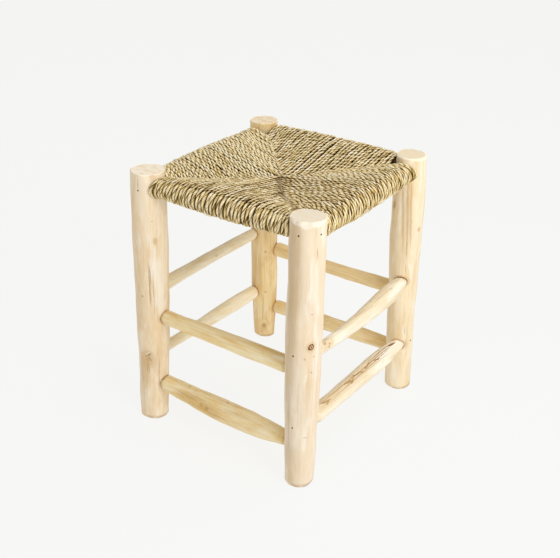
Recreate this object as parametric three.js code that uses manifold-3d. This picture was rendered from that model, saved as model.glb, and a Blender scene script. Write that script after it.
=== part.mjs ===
// A low stool of peeled poles with a seat wound from twisted palm cord.
// Four splayed poles are the legs. Four rails and eight stretchers are whittled to round tenons
// that seat in blind holes in the legs, and wire nails pin the joints that the maker nailed.
// The cord goes over and under each rail in turn, round all four corners, so that four triangles
// of parallel turns meet along the diagonals of the seat, above and below.
// Lengths are in millimetres, +Z is up, and the feet stand on z = 0.

import * as THREE from 'three';
import { mergeVertices } from 'three/addons/utils/BufferGeometryUtils.js';
import Module from 'manifold-3d';

// Driving dimensions of the frame
const stoolHeight = 450;
const topSpacingX = 294.4;
const topSpacingY = 305.6;
const footSpacingX = 303.8;
const footSpacingY = 329.6;

// Room left between pieces that touch
const fitGap = 0.3;

// Legs
const legGirth = 28;
const legTopChamfer = 3;
const legFootChamfer = 2.2;
const legSides = 16;
const legSpans = 8;
const legOvalShare = 0.018;
const legLobeShare = 0.012;

// Rails and stretchers
const stretcherSides = 12;
const stretcherSpans = 6;
const railSides = 10;
const railSpans = 4;
const stretcherGirth = 14;
const longUpperHeight = 200;
const longLowerHeight = 70;
const tenonRadius = 10;
const upperTenonSpacing = 9.5;
const lowerTenonSpacing = 15.5;
const crossOutset = 8;
const backOutset = 6;
const stretcherPastAxis = 9;
const railShortOfAxis = 9.6;
const tenonBevel = 1.2;
const shoulderRun = 9;
const shoulderShare = 0.7;
const railEndRadius = 10;
const railMidRadius = 15;
const railTenonRadius = 7.4;
const longRailDrop = 23;
const crossRailDrop = 26.5;
const barOvalShare = 0.03;

// Seat cord
const cordDiameter = 6.7;
const cordGrooveShare = 0.2;
const seatCentreDrop = 19.5;
const weaveCentreX = 4;
const weaveCentreY = -13;
const seamValley = 0.8;
const seamStartShare = 0.125;
const cornerBlend = 20;
const rollSteps = 5;
const panelSpans = 2;
const seamFallPower = 0.8;
const railSwellPower = 0.8;

// Nails
const nailRadius = 1.2;
const nailHeadRadius = 2.1;
const nailHeadThickness = 0.8;
const nailPointLength = 3;
const nailProud = 0.25;
const railNailLength = 48;
const stretcherNailLength = 36;
const crossNailLength = 30;
const nailSides = 6;

// The cross stretchers' tenons pass above the long ones' inside the legs
const crossUpperHeight = longUpperHeight + 2 * tenonRadius + upperTenonSpacing;
const crossLowerHeight = longLowerHeight + 2 * tenonRadius + lowerTenonSpacing;

// Legs in order round the seat, with their girths as shares of legGirth. The radius shares give
// each radius from the foot to the top at even steps of height, against that leg's girth. The
// bow share is how far its middle stands off the straight line, in the direction of bowTurn.
const legPoles = [
  {
    name: 'leg_front_left', sideX: -1, sideY: -1, girthShare: 1, bowShare: 0.064, bowTurn: 0.6,
    radiusShares: [0.835, 0.873, 0.905, 0.94, 0.965, 0.985, 1, 0.975, 0.925],
  },
  {
    name: 'leg_front_right', sideX: 1, sideY: -1, girthShare: 1, bowShare: 0.018, bowTurn: 3.7,
    radiusShares: [0.83, 0.88, 0.92, 0.965, 1, 0.985, 0.967, 0.975, 0.925],
  },
  {
    name: 'leg_back_right', sideX: 1, sideY: 1, girthShare: 0.971, bowShare: 0.066, bowTurn: 3.7,
    radiusShares: [0.872, 0.885, 0.89, 0.905, 0.95, 0.99, 1, 0.975, 0.905],
  },
  {
    name: 'leg_back_left', sideX: -1, sideY: 1, girthShare: 0.886, bowShare: 0.012, bowTurn: 0.6,
    radiusShares: [0.775, 0.92, 0.975, 0.985, 0.99, 1, 0.99, 0.98, 0.96],
  },
];

// Stretchers, each from one leg to the next round the seat. Its height is that of its row, and
// the rise shares lift its two ends from there by shares of stretcherGirth, as the dip share
// lowers its middle. The radius shares are against its own girth, and the tenon shares against
// tenonRadius. outset moves it out from the legs' own axes.
const stretcherPoles = [
  {
    name: 'stretcher_front_upper', side: 0, height: longUpperHeight, outset: 0,
    riseShares: [-0.07, 0.14], dipShare: 0, girthShare: 0.986, tenonShares: [0.96, 1],
    flatShare: 1, radiusShares: [0.9, 0.935, 0.95, 0.965, 1],
  },
  {
    name: 'stretcher_front_lower', side: 0, height: longLowerHeight, outset: 0,
    riseShares: [0.21, -0.14], dipShare: 0.43, girthShare: 1.34, tenonShares: [1, 0.94],
    flatShare: 0.93, radiusShares: [0.75, 0.9, 1, 0.955, 0.63],
  },
  {
    name: 'stretcher_right_upper', side: 1, height: crossUpperHeight, outset: crossOutset,
    riseShares: [-0.11, -0.18], dipShare: 0.71, girthShare: 1.28, tenonShares: [0.86, 1],
    flatShare: 0.96, radiusShares: [0.525, 0.575, 0.687, 0.855, 1],
  },
  {
    name: 'stretcher_right_lower', side: 1, height: crossLowerHeight, outset: crossOutset,
    riseShares: [0.25, -0.6], dipShare: 0, girthShare: 1.17, tenonShares: [1, 1],
    flatShare: 0.8, radiusShares: [0.86, 0.866, 0.89, 1, 0.94],
  },
  {
    name: 'stretcher_back_upper', side: 2, height: longUpperHeight, outset: backOutset,
    riseShares: [-0.36, -0.21], dipShare: 0.29, girthShare: 0.92, tenonShares: [0.94, 0.94],
    flatShare: 1, radiusShares: [0.96, 0.93, 0.915, 0.985, 1],
  },
  {
    name: 'stretcher_back_lower', side: 2, height: longLowerHeight, outset: backOutset,
    riseShares: [0.21, -0.21], dipShare: 0, girthShare: 1.04, tenonShares: [0.94, 0.94],
    flatShare: 0.95, radiusShares: [0.81, 0.96, 1, 0.973, 0.836],
  },
  {
    name: 'stretcher_left_upper', side: 3, height: crossUpperHeight, outset: crossOutset,
    riseShares: [0.04, 0.25], dipShare: -0.11, girthShare: 0.83, tenonShares: [0.84, 0.88],
    flatShare: 0.96, radiusShares: [0.853, 0.914, 0.931, 0.948, 1],
  },
  {
    name: 'stretcher_left_lower', side: 3, height: crossLowerHeight, outset: crossOutset,
    riseShares: [-0.11, 0.46], dipShare: 0.07, girthShare: 0.957, tenonShares: [0.9, 0.76],
    flatShare: 1, radiusShares: [0.925, 1, 0.91, 0.739, 0.657],
  },
];

// Nails by the bar that they pin and the end they are in. A nail goes in from the far side of the
// leg, in line with the bar, except one marked across, which goes in square to it. The head
// shares are how far its head stands above the bar's centre line there, and to the outside of the
// leg's, and the tip share is how far its tip stands above the bar's, all against legGirth.
const nailPlaces = [
  { bar: 'rail_front', end: 1, headShares: [0.16, 0.23], tipShare: 0.07 },
  { bar: 'rail_right', end: 0, headShares: [0.27, 0.09], tipShare: -0.11 },
  { bar: 'stretcher_right_upper', end: 0, headShares: [0.5, 0], tipShare: 0.04 },
  { bar: 'stretcher_right_lower', end: 0, headShares: [0.21, 0.04], tipShare: 0 },
  { bar: 'rail_left', end: 1, headShares: [0.02, -0.09], tipShare: -0.04 },
  { bar: 'stretcher_right_lower', end: 1, headShares: [0.23, -0.14], tipShare: 0.04, across: true },
  { bar: 'rail_front', end: 0, headShares: [0.18, -0.07], tipShare: 0.09 },
  { bar: 'stretcher_front_lower', end: 0, headShares: [0.14, 0.04], tipShare: 0 },
  { bar: 'rail_left', end: 0, headShares: [-0.05, 0.07], tipShare: -0.04 },
  { bar: 'rail_back', end: 1, headShares: [0.125, -0.04], tipShare: 0.07 },
  { bar: 'stretcher_left_upper', end: 0, headShares: [0.21, 0.04], tipShare: 0 },
  { bar: 'stretcher_back_lower', end: 1, headShares: [0.11, 0.07], tipShare: 0 },
  { bar: 'rail_right', end: 1, headShares: [0.02, -0.11], tipShare: -0.05 },
  { bar: 'stretcher_right_upper', end: 1, headShares: [0.21, 0.07], tipShare: 0 },
];

// Finishes
const peeledWood = new THREE.MeshStandardMaterial({ color: 0xe6d0a8, roughness: 0.62, metalness: 0 });
const stretcherWood = new THREE.MeshStandardMaterial({ color: 0xddc48d, roughness: 0.62, metalness: 0 });
const palmCord = new THREE.MeshStandardMaterial({ color: 0xb09a66, roughness: 0.8, metalness: 0 });
const darkNail = new THREE.MeshStandardMaterial({ color: 0x33271f, roughness: 0.55, metalness: 0.8 });

const wasm = await Module();
wasm.setup();

const fullTurn = 2 * Math.PI;
const mix = THREE.MathUtils.lerp;
const vec = (x, y, z) => new THREE.Vector3(x, y, z);

// A value read off a row of shares, smoothly between one and the next
function readShares(shares, share) {
  const place = THREE.MathUtils.clamp(share, 0, 1) * (shares.length - 1);
  const low = Math.min(Math.floor(place), shares.length - 2);
  return mix(shares[low], shares[low + 1], place - low);
}

// A closed body over rings of as many points each, with its two end rings closed by a fan
function skinRings(rings) {
  const count = rings[0].length;
  const points = rings.flat();
  const triangles = [];
  for (let r = 0; r + 1 < rings.length; r += 1) {
    for (let i = 0; i < count; i += 1) {
      const next = (i + 1) % count;
      const here = r * count;
      const there = here + count;
      triangles.push([here + i, here + next, there + next], [here + i, there + next, there + i]);
    }
  }
  for (const [ring, first] of [[rings[0], 0], [rings.at(-1), (rings.length - 1) * count]]) {
    const middle = ring.reduce((sum, p) => sum.add(p), vec(0, 0, 0)).divideScalar(count);
    const hub = points.push(middle) - 1;
    for (let i = 0; i < count; i += 1) {
      const next = (i + 1) % count;
      triangles.push(first === 0 ? [hub, first + next, first + i] : [hub, first + i, first + next]);
    }
  }
  return closedSolid(points, triangles);
}

// A solid from points and triangles. Points in one place become one point, triangles that
// shrink to a line go, and the faces are turned outwards.
function closedSolid(points, triangles) {
  const shell = new THREE.BufferGeometry().setFromPoints(points);
  shell.setIndex(triangles.flat());
  const merged = mergeVertices(shell);
  const index = merged.getIndex().array;
  const kept = [];
  for (let i = 0; i < index.length; i += 3) {
    const [a, b, c] = index.slice(i, i + 3);
    if (a !== b && b !== c && c !== a) {
      kept.push([a, b, c]);
    }
  }
  const place = merged.getAttribute('position');
  const corner = (i) => new THREE.Vector3().fromBufferAttribute(place, i);
  const volume = kept.reduce(
    (sum, [a, b, c]) => sum + corner(a).dot(corner(b).cross(corner(c))), 0);
  const facing = volume > 0 ? kept : kept.map(([a, b, c]) => [a, c, b]);
  return new wasm.Manifold(new wasm.Mesh({
    numProp: 3,
    vertProperties: new Float32Array(place.array),
    triVerts: new Uint32Array(facing.flat()),
  }));
}

function meshOf(name, solid, material) {
  const { vertProperties, triVerts } = solid.getMesh();
  const geometry = new THREE.BufferGeometry();
  geometry.setAttribute('position', new THREE.BufferAttribute(vertProperties, 3));
  geometry.setIndex(new THREE.BufferAttribute(triVerts, 1));
  geometry.computeVertexNormals();
  const mesh = new THREE.Mesh(geometry, material);
  mesh.name = name;
  return mesh;
}

// Where a leg's centre line is at a height: it leans out evenly from top to foot, and bows
function legCentre(leg, height) {
  const share = height / stoolHeight;
  const lean = vec(
    (leg.sideX * mix(footSpacingX, topSpacingX, share)) / 2,
    (leg.sideY * mix(footSpacingY, topSpacingY, share)) / 2,
    height);
  const bow = legGirth * leg.bowShare * Math.sin(Math.PI * share);
  return lean.add(vec(bow * Math.cos(leg.bowTurn), bow * Math.sin(leg.bowTurn), 0));
}

function legRadius(leg, height) {
  return legGirth * leg.girthShare * readShares(leg.radiusShares, height / stoolHeight);
}

// One level ring of a leg. The pole is a little oval, with a third lobe that turns as it rises.
function legRing(leg, height, radius) {
  const centre = legCentre(leg, height);
  const phase = leg.bowTurn + height / stoolHeight;
  return Array.from({ length: legSides }, (_, i) => {
    const angle = (fullTurn * i) / legSides;
    const lobes = legOvalShare * Math.cos(2 * angle - phase) + legLobeShare * Math.cos(3 * angle + phase);
    const reach = radius * (1 + lobes);
    return centre.clone().add(vec(reach * Math.cos(angle), reach * Math.sin(angle), 0));
  });
}

// The pole of a leg with its foot and top edges bevelled, or the same pole grown by a gap all
// round, as the cutter of what passes beside it
function legSolid(leg, gap) {
  const rings = [legRing(leg, 0, legRadius(leg, 0) - legFootChamfer + gap)];
  for (let i = 0; i <= legSpans; i += 1) {
    const height = mix(legFootChamfer, stoolHeight - legTopChamfer, i / legSpans);
    rings.push(legRing(leg, height, legRadius(leg, height) + gap));
  }
  rings.push(legRing(leg, stoolHeight, legRadius(leg, stoolHeight) - legTopChamfer + gap));
  return skinRings(rings);
}

// The four sides of the seat, from each leg to the next
const sides = legPoles.map((leg, i) => {
  const next = legPoles[(i + 1) % legPoles.length];
  const alongX = leg.sideY === next.sideY;
  return {
    start: leg,
    end: next,
    outward: alongX ? vec(0, leg.sideY, 0) : vec(leg.sideX, 0, 0),
    along: alongX ? vec(Math.sign(next.sideX - leg.sideX), 0, 0)
      : vec(0, Math.sign(next.sideY - leg.sideY), 0),
    railHeight: stoolHeight - (alongX ? longRailDrop : crossRailDrop),
  };
});

// A bar between two legs: its ends on the legs' axes, and its stations, each a distance past the
// first axis with a radius and a fall. The tenons run from inside the legs to their faces, and the
// shoulders swell from there to the bar's own girth.
function layOutBar(bar) {
  const { start, end, outward } = sides[bar.side];
  const from = legCentre(start, bar.startHeight).addScaledVector(outward, bar.outset);
  const to = legCentre(end, bar.endHeight).addScaledVector(outward, bar.outset);
  const length = from.distanceTo(to);
  const startFace = legRadius(start, bar.startHeight);
  const endFace = length - legRadius(end, bar.endHeight);
  const bodyRadius = (distance) => bar.radiusAt((distance - startFace) / (endFace - startFace));
  const fall = (distance) => bar.dip * Math.sin(Math.PI * THREE.MathUtils.clamp(distance / length, 0, 1));
  const stations = [
    { distance: -bar.pastAxis, radius: bar.startTenon - tenonBevel },
    { distance: -bar.pastAxis + tenonBevel, radius: bar.startTenon },
    { distance: startFace, radius: bar.startTenon },
    {
      distance: startFace + shoulderRun / 3,
      radius: mix(bar.startTenon, bodyRadius(startFace), shoulderShare),
    },
  ];
  for (let i = 0; i <= bar.spans; i += 1) {
    const distance = mix(startFace + shoulderRun, endFace - shoulderRun, i / bar.spans);
    stations.push({ distance, radius: bodyRadius(distance) });
  }
  stations.push(
    { distance: endFace - shoulderRun / 3, radius: mix(bar.endTenon, bodyRadius(endFace), shoulderShare) },
    { distance: endFace, radius: bar.endTenon },
    { distance: length + bar.pastAxis - tenonBevel, radius: bar.endTenon },
    { distance: length + bar.pastAxis, radius: bar.endTenon - tenonBevel });
  stations.forEach((station) => { station.fall = fall(station.distance); });
  return { ...bar, from, to, length, stations };
}

// The bar as a solid, or grown by a gap all round. A slight oval and one flat side, where the
// pole was split or shaved, make its outline; the tenons are round.
function barSolid(bar, gap) {
  const run = bar.to.clone().sub(bar.from).normalize();
  const { outward } = sides[bar.side];
  const upward = run.clone().cross(outward).normalize();
  upward.multiplyScalar(Math.sign(upward.z));
  const last = bar.stations.length - 1;
  const rings = bar.stations.map(({ distance, radius, fall }, k) => {
    const isTenon = k < 3 || k > last - 3;
    const tipGrowth = k === 0 ? -gap : k === last ? gap : 0;
    const centre = bar.from.clone().addScaledVector(run, distance + tipGrowth);
    centre.z -= fall;
    return Array.from({ length: bar.sides }, (_, i) => {
      const angle = (fullTurn * i) / bar.sides;
      const oval = isTenon ? 1 : 1 + barOvalShare * Math.cos(2 * angle + k);
      const towardFlat = Math.cos(angle - bar.flatTurn);
      const flat = isTenon || towardFlat <= 0 ? Infinity : bar.flatShare / towardFlat;
      const reach = radius * Math.min(oval, flat) + gap;
      return centre.clone()
        .addScaledVector(outward, reach * Math.cos(angle))
        .addScaledVector(upward, reach * Math.sin(angle));
    });
  });
  return skinRings(rings);
}

// Rails swell from their ends to the middle
function railRadius(share) {
  const swell = Math.sin(Math.PI * THREE.MathUtils.clamp(share, 0, 1)) ** railSwellPower;
  return mix(railEndRadius, railMidRadius, swell);
}

const railNames = ['rail_front', 'rail_right', 'rail_back', 'rail_left'];
const rails = railNames.map((name, side) => layOutBar({
  name,
  side,
  startHeight: sides[side].railHeight,
  endHeight: sides[side].railHeight,
  dip: 0,
  outset: 0,
  startTenon: railTenonRadius,
  endTenon: railTenonRadius,
  pastAxis: -railShortOfAxis,
  radiusAt: railRadius,
  flatShare: 1,
  flatTurn: 0,
  sides: railSides,
  spans: railSpans,
  nailLength: railNailLength,
}));

const stretchers = stretcherPoles.map((pole) => layOutBar({
  ...pole,
  startHeight: pole.height + stretcherGirth * pole.riseShares[0],
  endHeight: pole.height + stretcherGirth * pole.riseShares[1],
  dip: stretcherGirth * pole.dipShare,
  startTenon: tenonRadius * pole.tenonShares[0],
  endTenon: tenonRadius * pole.tenonShares[1],
  pastAxis: stretcherPastAxis,
  radiusAt: (share) => stretcherGirth * pole.girthShare * readShares(pole.radiusShares, share),
  flatTurn: Math.PI / 4,
  sides: stretcherSides,
  spans: stretcherSpans,
  nailLength: stretcherNailLength,
}));

const bars = [...rails, ...stretchers];

// A nail as a turned solid along its own +Z from the point to the head
function nailSolid(length, gap) {
  const profile = [
    [0, -gap],
    [nailRadius + gap, nailPointLength],
    [nailRadius + gap, length - nailHeadThickness - gap],
    [nailHeadRadius + gap, length - nailHeadThickness - gap],
    [nailHeadRadius + gap, length + gap],
    [0, length + gap],
  ].map(([radius, height]) => new THREE.Vector2(radius, height));
  const turned = new THREE.LatheGeometry(profile, nailSides).rotateX(Math.PI / 2);
  const place = turned.getAttribute('position');
  const points = Array.from({ length: place.count },
    (_, i) => new THREE.Vector3().fromBufferAttribute(place, i));
  const index = turned.getIndex().array;
  const triangles = Array.from({ length: index.length / 3 }, (_, i) => [...index.slice(3 * i, 3 * i + 3)]);
  return closedSolid(points, triangles);
}

// Each nail with its own solid and its hole, turned from its head towards the bar that it pins
const nails = nailPlaces.map(({ bar: barName, end, headShares, tipShare, across }) => {
  const bar = bars.find(({ name }) => name === barName);
  const side = sides[bar.side];
  const leg = end === 0 ? side.start : side.end;
  const height = end === 0 ? bar.startHeight : bar.endHeight;
  const inLine = side.along.clone().multiplyScalar(end === 0 ? -1 : 1);
  const outOfLeg = across ? side.outward : inLine;
  const sideways = across ? side.along : side.outward;
  const [headRise, headShift] = headShares.map((share) => legGirth * share);
  const tipRise = legGirth * tipShare;
  const tipShift = across ? 0 : bar.outset;
  const length = across ? crossNailLength : bar.nailLength;
  const reach = Math.sqrt(legRadius(leg, height) ** 2 - headShift ** 2) + nailProud;
  const head = legCentre(leg, height + headRise)
    .addScaledVector(sideways, headShift).addScaledVector(outOfLeg, reach);
  const tip = legCentre(leg, height + tipRise)
    .addScaledVector(sideways, tipShift).addScaledVector(outOfLeg, reach - length);
  const turn = new THREE.Quaternion().setFromUnitVectors(
    vec(0, 0, 1), head.clone().sub(tip).normalize());
  const pose = new THREE.Matrix4().compose(tip, turn, vec(1, 1, 1));
  const place = (gap) => nailSolid(head.distanceTo(tip), gap).transform(pose.toArray());
  return {
    name: `nail_${barName}_${end === 0 ? 'start' : 'end'}`, leg, bar, body: place(0), hole: place(fitGap),
  };
});

// The seat's outline goes through the legs' axes at the height of the rails
const rollHeight = stoolHeight - (longRailDrop + crossRailDrop) / 2;
const centreTopHeight = stoolHeight - seatCentreDrop;
const corners = legPoles.map((leg) => legCentre(leg, rollHeight));
const turnsPerCorner = Math.round(topSpacingX / 2 / cordDiameter);
const cordGroove = cordDiameter * cordGrooveShare;
const rollEndRadius = railEndRadius + cordDiameter;

// A point of the seam between two panels, at a share of the way from a corner to the centre.
// The seam falls towards the centre above and rises to it below, where two cords are left.
function seamPoint(corner, share, face) {
  const centreHeight = face > 0 ? centreTopHeight : centreTopHeight - 2 * cordDiameter;
  const height = mix(rollHeight + face * rollEndRadius, centreHeight, share ** seamFallPower);
  const valley = seamValley * Math.min(1, share / seamStartShare);
  return vec(
    mix(corners[corner].x, weaveCentreX, share),
    mix(corners[corner].y, weaveCentreY, share),
    height - face * valley);
}

// One line across a side of the seat, square to its rail: from the seam above, out over the
// roll and back to the seam below. Lines on a turn's crest and in the groove between two turns
// take it in turns.
function weaveLine(side, step, steps) {
  const { outward, railHeight } = sides[side];
  const firstHalf = step <= steps / 2;
  const corner = firstHalf ? side : (side + 1) % corners.length;
  const share = (firstHalf ? step : steps - step) / (steps / 2);
  const sunk = step % 2 === 0 ? cordGroove : 0;
  const seams = [1, -1].map((face) => seamPoint(corner, share, face));
  const from = corners[side];
  const to = corners[(side + 1) % corners.length];
  const along = sides[side].along;
  const offset = seams[0].clone().sub(from).dot(along);
  const length = to.clone().sub(from).dot(along);
  const axis = from.clone().addScaledVector(along, offset);
  const blend = Math.min(1, (share * topSpacingX) / 2 / cornerBlend);
  axis.z = mix(rollHeight, railHeight, blend);
  const radius = railRadius(offset / length) + cordDiameter - sunk * blend;
  const roll = Array.from({ length: rollSteps + 1 }, (_, i) => {
    const angle = Math.PI / 2 - (Math.PI * i) / rollSteps;
    return axis.clone()
      .addScaledVector(outward, radius * Math.cos(angle))
      .add(vec(0, 0, radius * Math.sin(angle)));
  });
  seams[0].z -= sunk * blend;
  seams[1].z += sunk * blend;
  const panel = (seam, edge) => Array.from({ length: panelSpans }, (_, i) => {
    const part = i / panelSpans;
    const point = seam.clone().lerp(edge, part);
    return point.setZ(mix(seam.z, edge.z, THREE.MathUtils.smoothstep(part, 0, 1)));
  });
  return [...panel(seams[0], roll[0]), ...roll, ...panel(seams[1], roll.at(-1)).reverse()];
}

// The wound seat as one closed body. Each corner between two sides is closed by a quarter turn,
// which the leg's own cut takes away again.
function windSeat() {
  const steps = 4 * turnsPerCorner;
  const lines = [];
  sides.forEach((_, side) => {
    for (let step = 0; step <= steps; step += 1) {
      lines.push(weaveLine(side, step, steps));
    }
    const leaving = lines.at(-1);
    const arriving = weaveLine((side + 1) % sides.length, 0, steps);
    const corner = corners[(side + 1) % corners.length];
    lines.push(leaving.map((point, i) => {
      const outward = point.clone().add(arriving[i]).sub(corner).sub(corner).setZ(0);
      const reach = Math.hypot(point.x - corner.x, point.y - corner.y);
      return corner.clone().setZ((point.z + arriving[i].z) / 2)
        .addScaledVector(outward.normalize(), reach);
    }));
  });
  const count = lines[0].length;
  const triangles = [];
  lines.forEach((_, r) => {
    const here = r * count;
    const there = ((r + 1) % lines.length) * count;
    for (let i = 0; i + 1 < count; i += 1) {
      triangles.push([here + i, here + i + 1, there + i + 1], [here + i, there + i + 1, there + i]);
    }
  });
  return closedSolid(lines.flat(), triangles);
}

const stool = new THREE.Group();

for (const leg of legPoles) {
  let solid = legSolid(leg, 0);
  for (const bar of bars) {
    if (sides[bar.side].start === leg || sides[bar.side].end === leg) {
      solid = solid.subtract(barSolid(bar, fitGap));
    }
  }
  for (const nail of nails.filter((each) => each.leg === leg)) {
    solid = solid.subtract(nail.hole);
  }
  stool.add(meshOf(leg.name, solid, peeledWood));
}

for (const bar of bars) {
  let solid = barSolid(bar, 0);
  for (const nail of nails.filter((each) => each.bar === bar)) {
    solid = solid.subtract(nail.hole);
  }
  stool.add(meshOf(bar.name, solid, stretcherWood));
}

for (const nail of nails) {
  stool.add(meshOf(nail.name, nail.body, darkNail));
}

let seat = windSeat();
for (const leg of legPoles) {
  seat = seat.subtract(legSolid(leg, fitGap));
}
for (const rail of rails) {
  seat = seat.subtract(barSolid(rail, fitGap));
}
stool.add(meshOf('seat_weave', seat, palmCord));

// The origin is under the middle of the whole stool
const middle = new THREE.Box3().setFromObject(stool).getCenter(vec(0, 0, 0));
stool.position.set(-middle.x, -middle.y, 0);

export default stool;
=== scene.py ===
"""A low stool of peeled poles, with its seat wound from twisted palm cord.

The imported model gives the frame. Every leg, stretcher, nail and turn of cord is made again here
as a fine surface in the place of its plain solid, and dressed with its own wood, leaf or steel.
Lengths are in metres, +Z is up, and the feet stand on z = 0.
"""

import logging
import math
from dataclasses import dataclass, field
from enum import Enum
from typing import Any

import bpy
import numpy as np
from mathutils import Matrix, Vector
from numpy.typing import NDArray


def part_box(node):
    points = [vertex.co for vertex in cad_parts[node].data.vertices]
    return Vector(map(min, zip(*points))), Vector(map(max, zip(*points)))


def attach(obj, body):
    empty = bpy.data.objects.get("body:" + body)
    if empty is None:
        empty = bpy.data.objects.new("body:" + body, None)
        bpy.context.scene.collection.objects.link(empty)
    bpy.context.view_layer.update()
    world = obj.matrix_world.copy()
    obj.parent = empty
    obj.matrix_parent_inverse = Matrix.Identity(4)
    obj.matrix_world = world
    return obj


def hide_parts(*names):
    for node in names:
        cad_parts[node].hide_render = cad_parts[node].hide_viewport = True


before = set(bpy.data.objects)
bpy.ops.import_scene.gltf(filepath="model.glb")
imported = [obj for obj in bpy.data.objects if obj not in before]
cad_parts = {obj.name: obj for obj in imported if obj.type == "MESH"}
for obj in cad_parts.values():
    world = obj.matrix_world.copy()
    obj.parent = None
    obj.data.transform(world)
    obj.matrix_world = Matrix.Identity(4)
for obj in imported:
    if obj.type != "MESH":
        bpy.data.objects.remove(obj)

Array = NDArray[np.float64]
Colour = tuple[float, float, float, float]
Triple = tuple[float, float, float]
Socket, Node, Tree = bpy.types.NodeSocket, bpy.types.Node, bpy.types.NodeTree
Material, Piece = bpy.types.Material, bpy.types.Object

MM = 0.001
FULL_TURN = 2 * math.pi
BODY = "root"
UP = np.array([0.0, 0.0, 1.0])

log = logging.getLogger("stool")


# Curves and surfaces


def ease(share: Array | float) -> Array:
    """A step from 0 to 1, level at its ends: 3 s squared less 2 s cubed of the held share s."""
    held = np.clip(share, 0.0, 1.0)
    return held * held * (3.0 - 2.0 * held)


def blend(low: Array | float, high: Array | float, share: Array | float) -> Array:
    """The value a share of the way from low to high: low plus the share of what lies between."""
    return low + (high - low) * share


def unit(vectors: Array) -> Array:
    """Each vector, along the last axis, over its own length."""
    return vectors / np.maximum(np.linalg.norm(vectors, axis=-1, keepdims=True), 1e-12)


def read_taper(taper: tuple[float, ...], share: Array, soften: float = 0.04) -> Array:
    """Values at even shares, read off smoothly: the mean of five straight readings in a row."""
    steps = np.linspace(0.0, 1.0, len(taper))
    return sum(np.interp(share + soften * k, steps, taper) for k in (-1, -0.5, 0, 0.5, 1)) / 5


def wander(place: Array, rng: np.random.Generator, longest: float, waves: int = 5) -> Array:
    """A smooth random curve: a sum of sines, each 0.62 times as long and 0.75 times as high.

    Args:
        place: Where along the curve.
        rng: The source of the random phases.
        longest: The length of the longest sine.
        waves: How many sines are summed.

    Returns:
        Heights that stay mostly between -1 and 1.
    """
    total = np.zeros_like(place, dtype=float)
    length, high = longest, 0.62
    for _ in range(waves):
        total += high * np.sin(FULL_TURN * (place / length + rng.random()))
        length, high = length * (0.55 + 0.14 * rng.random()), high * 0.75
    return total


def ripple(turn: Array, place: Array, rng: np.random.Generator, longest: float,
           lobes: int = 7, waves: int = 14) -> Array:
    """A smooth random surface round a pole: sines that close on themselves round the turn.

    Args:
        turn: The angle round the pole.
        place: The distance along it.
        rng: The source of the random lobes and phases.
        longest: The length of the longest sine along the pole.
        lobes: The most lobes round the pole.
        waves: How many sines are summed.

    Returns:
        Heights that stay mostly between -1 and 1.
    """
    total = np.zeros(np.broadcast(turn, place).shape)
    for _ in range(waves):
        round_count = int(rng.integers(0, lobes + 1))
        length = longest * (0.25 + 0.75 * rng.random())
        total += np.cos(round_count * turn + FULL_TURN * (place / length + rng.random()))
    return total / math.sqrt(waves)


def wrap(turn: Array) -> Array:
    """Angles brought to between minus and plus half a turn."""
    return (turn + math.pi) % FULL_TURN - math.pi


def around(count: int) -> Array:
    """Even angles round a full turn."""
    return np.arange(count) * FULL_TURN / count


def sweep(core: Array, first: Array, second: Array, wide: Array, tall: Array, ring: Array
          ) -> Array:
    """Rings round a line's points: the angle's cosine times wide one way, its sine times tall."""
    return (core[:, None] + (wide * np.cos(ring))[..., None] * first[:, None]
            + (tall * np.sin(ring))[..., None] * second[:, None])


def shave(reach: Array, turn: Array, facing: Array | float, depth: Array) -> Array:
    """One flat cut along a pole: no point reaches past the plane that lies depth below its skin.

    Args:
        reach: The pole's radius before the cut.
        turn: The angle round the pole.
        facing: The angle that the cut faces.
        depth: How deep the cut goes, and no cut where this is below zero.

    Returns:
        The radius after the cut.
    """
    off = wrap(turn - facing)
    plane = (reach - depth) / np.maximum(np.cos(off), 0.2)
    return np.where((np.abs(off) < 1.2) & (depth > 0), np.minimum(reach, plane), reach)


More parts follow.
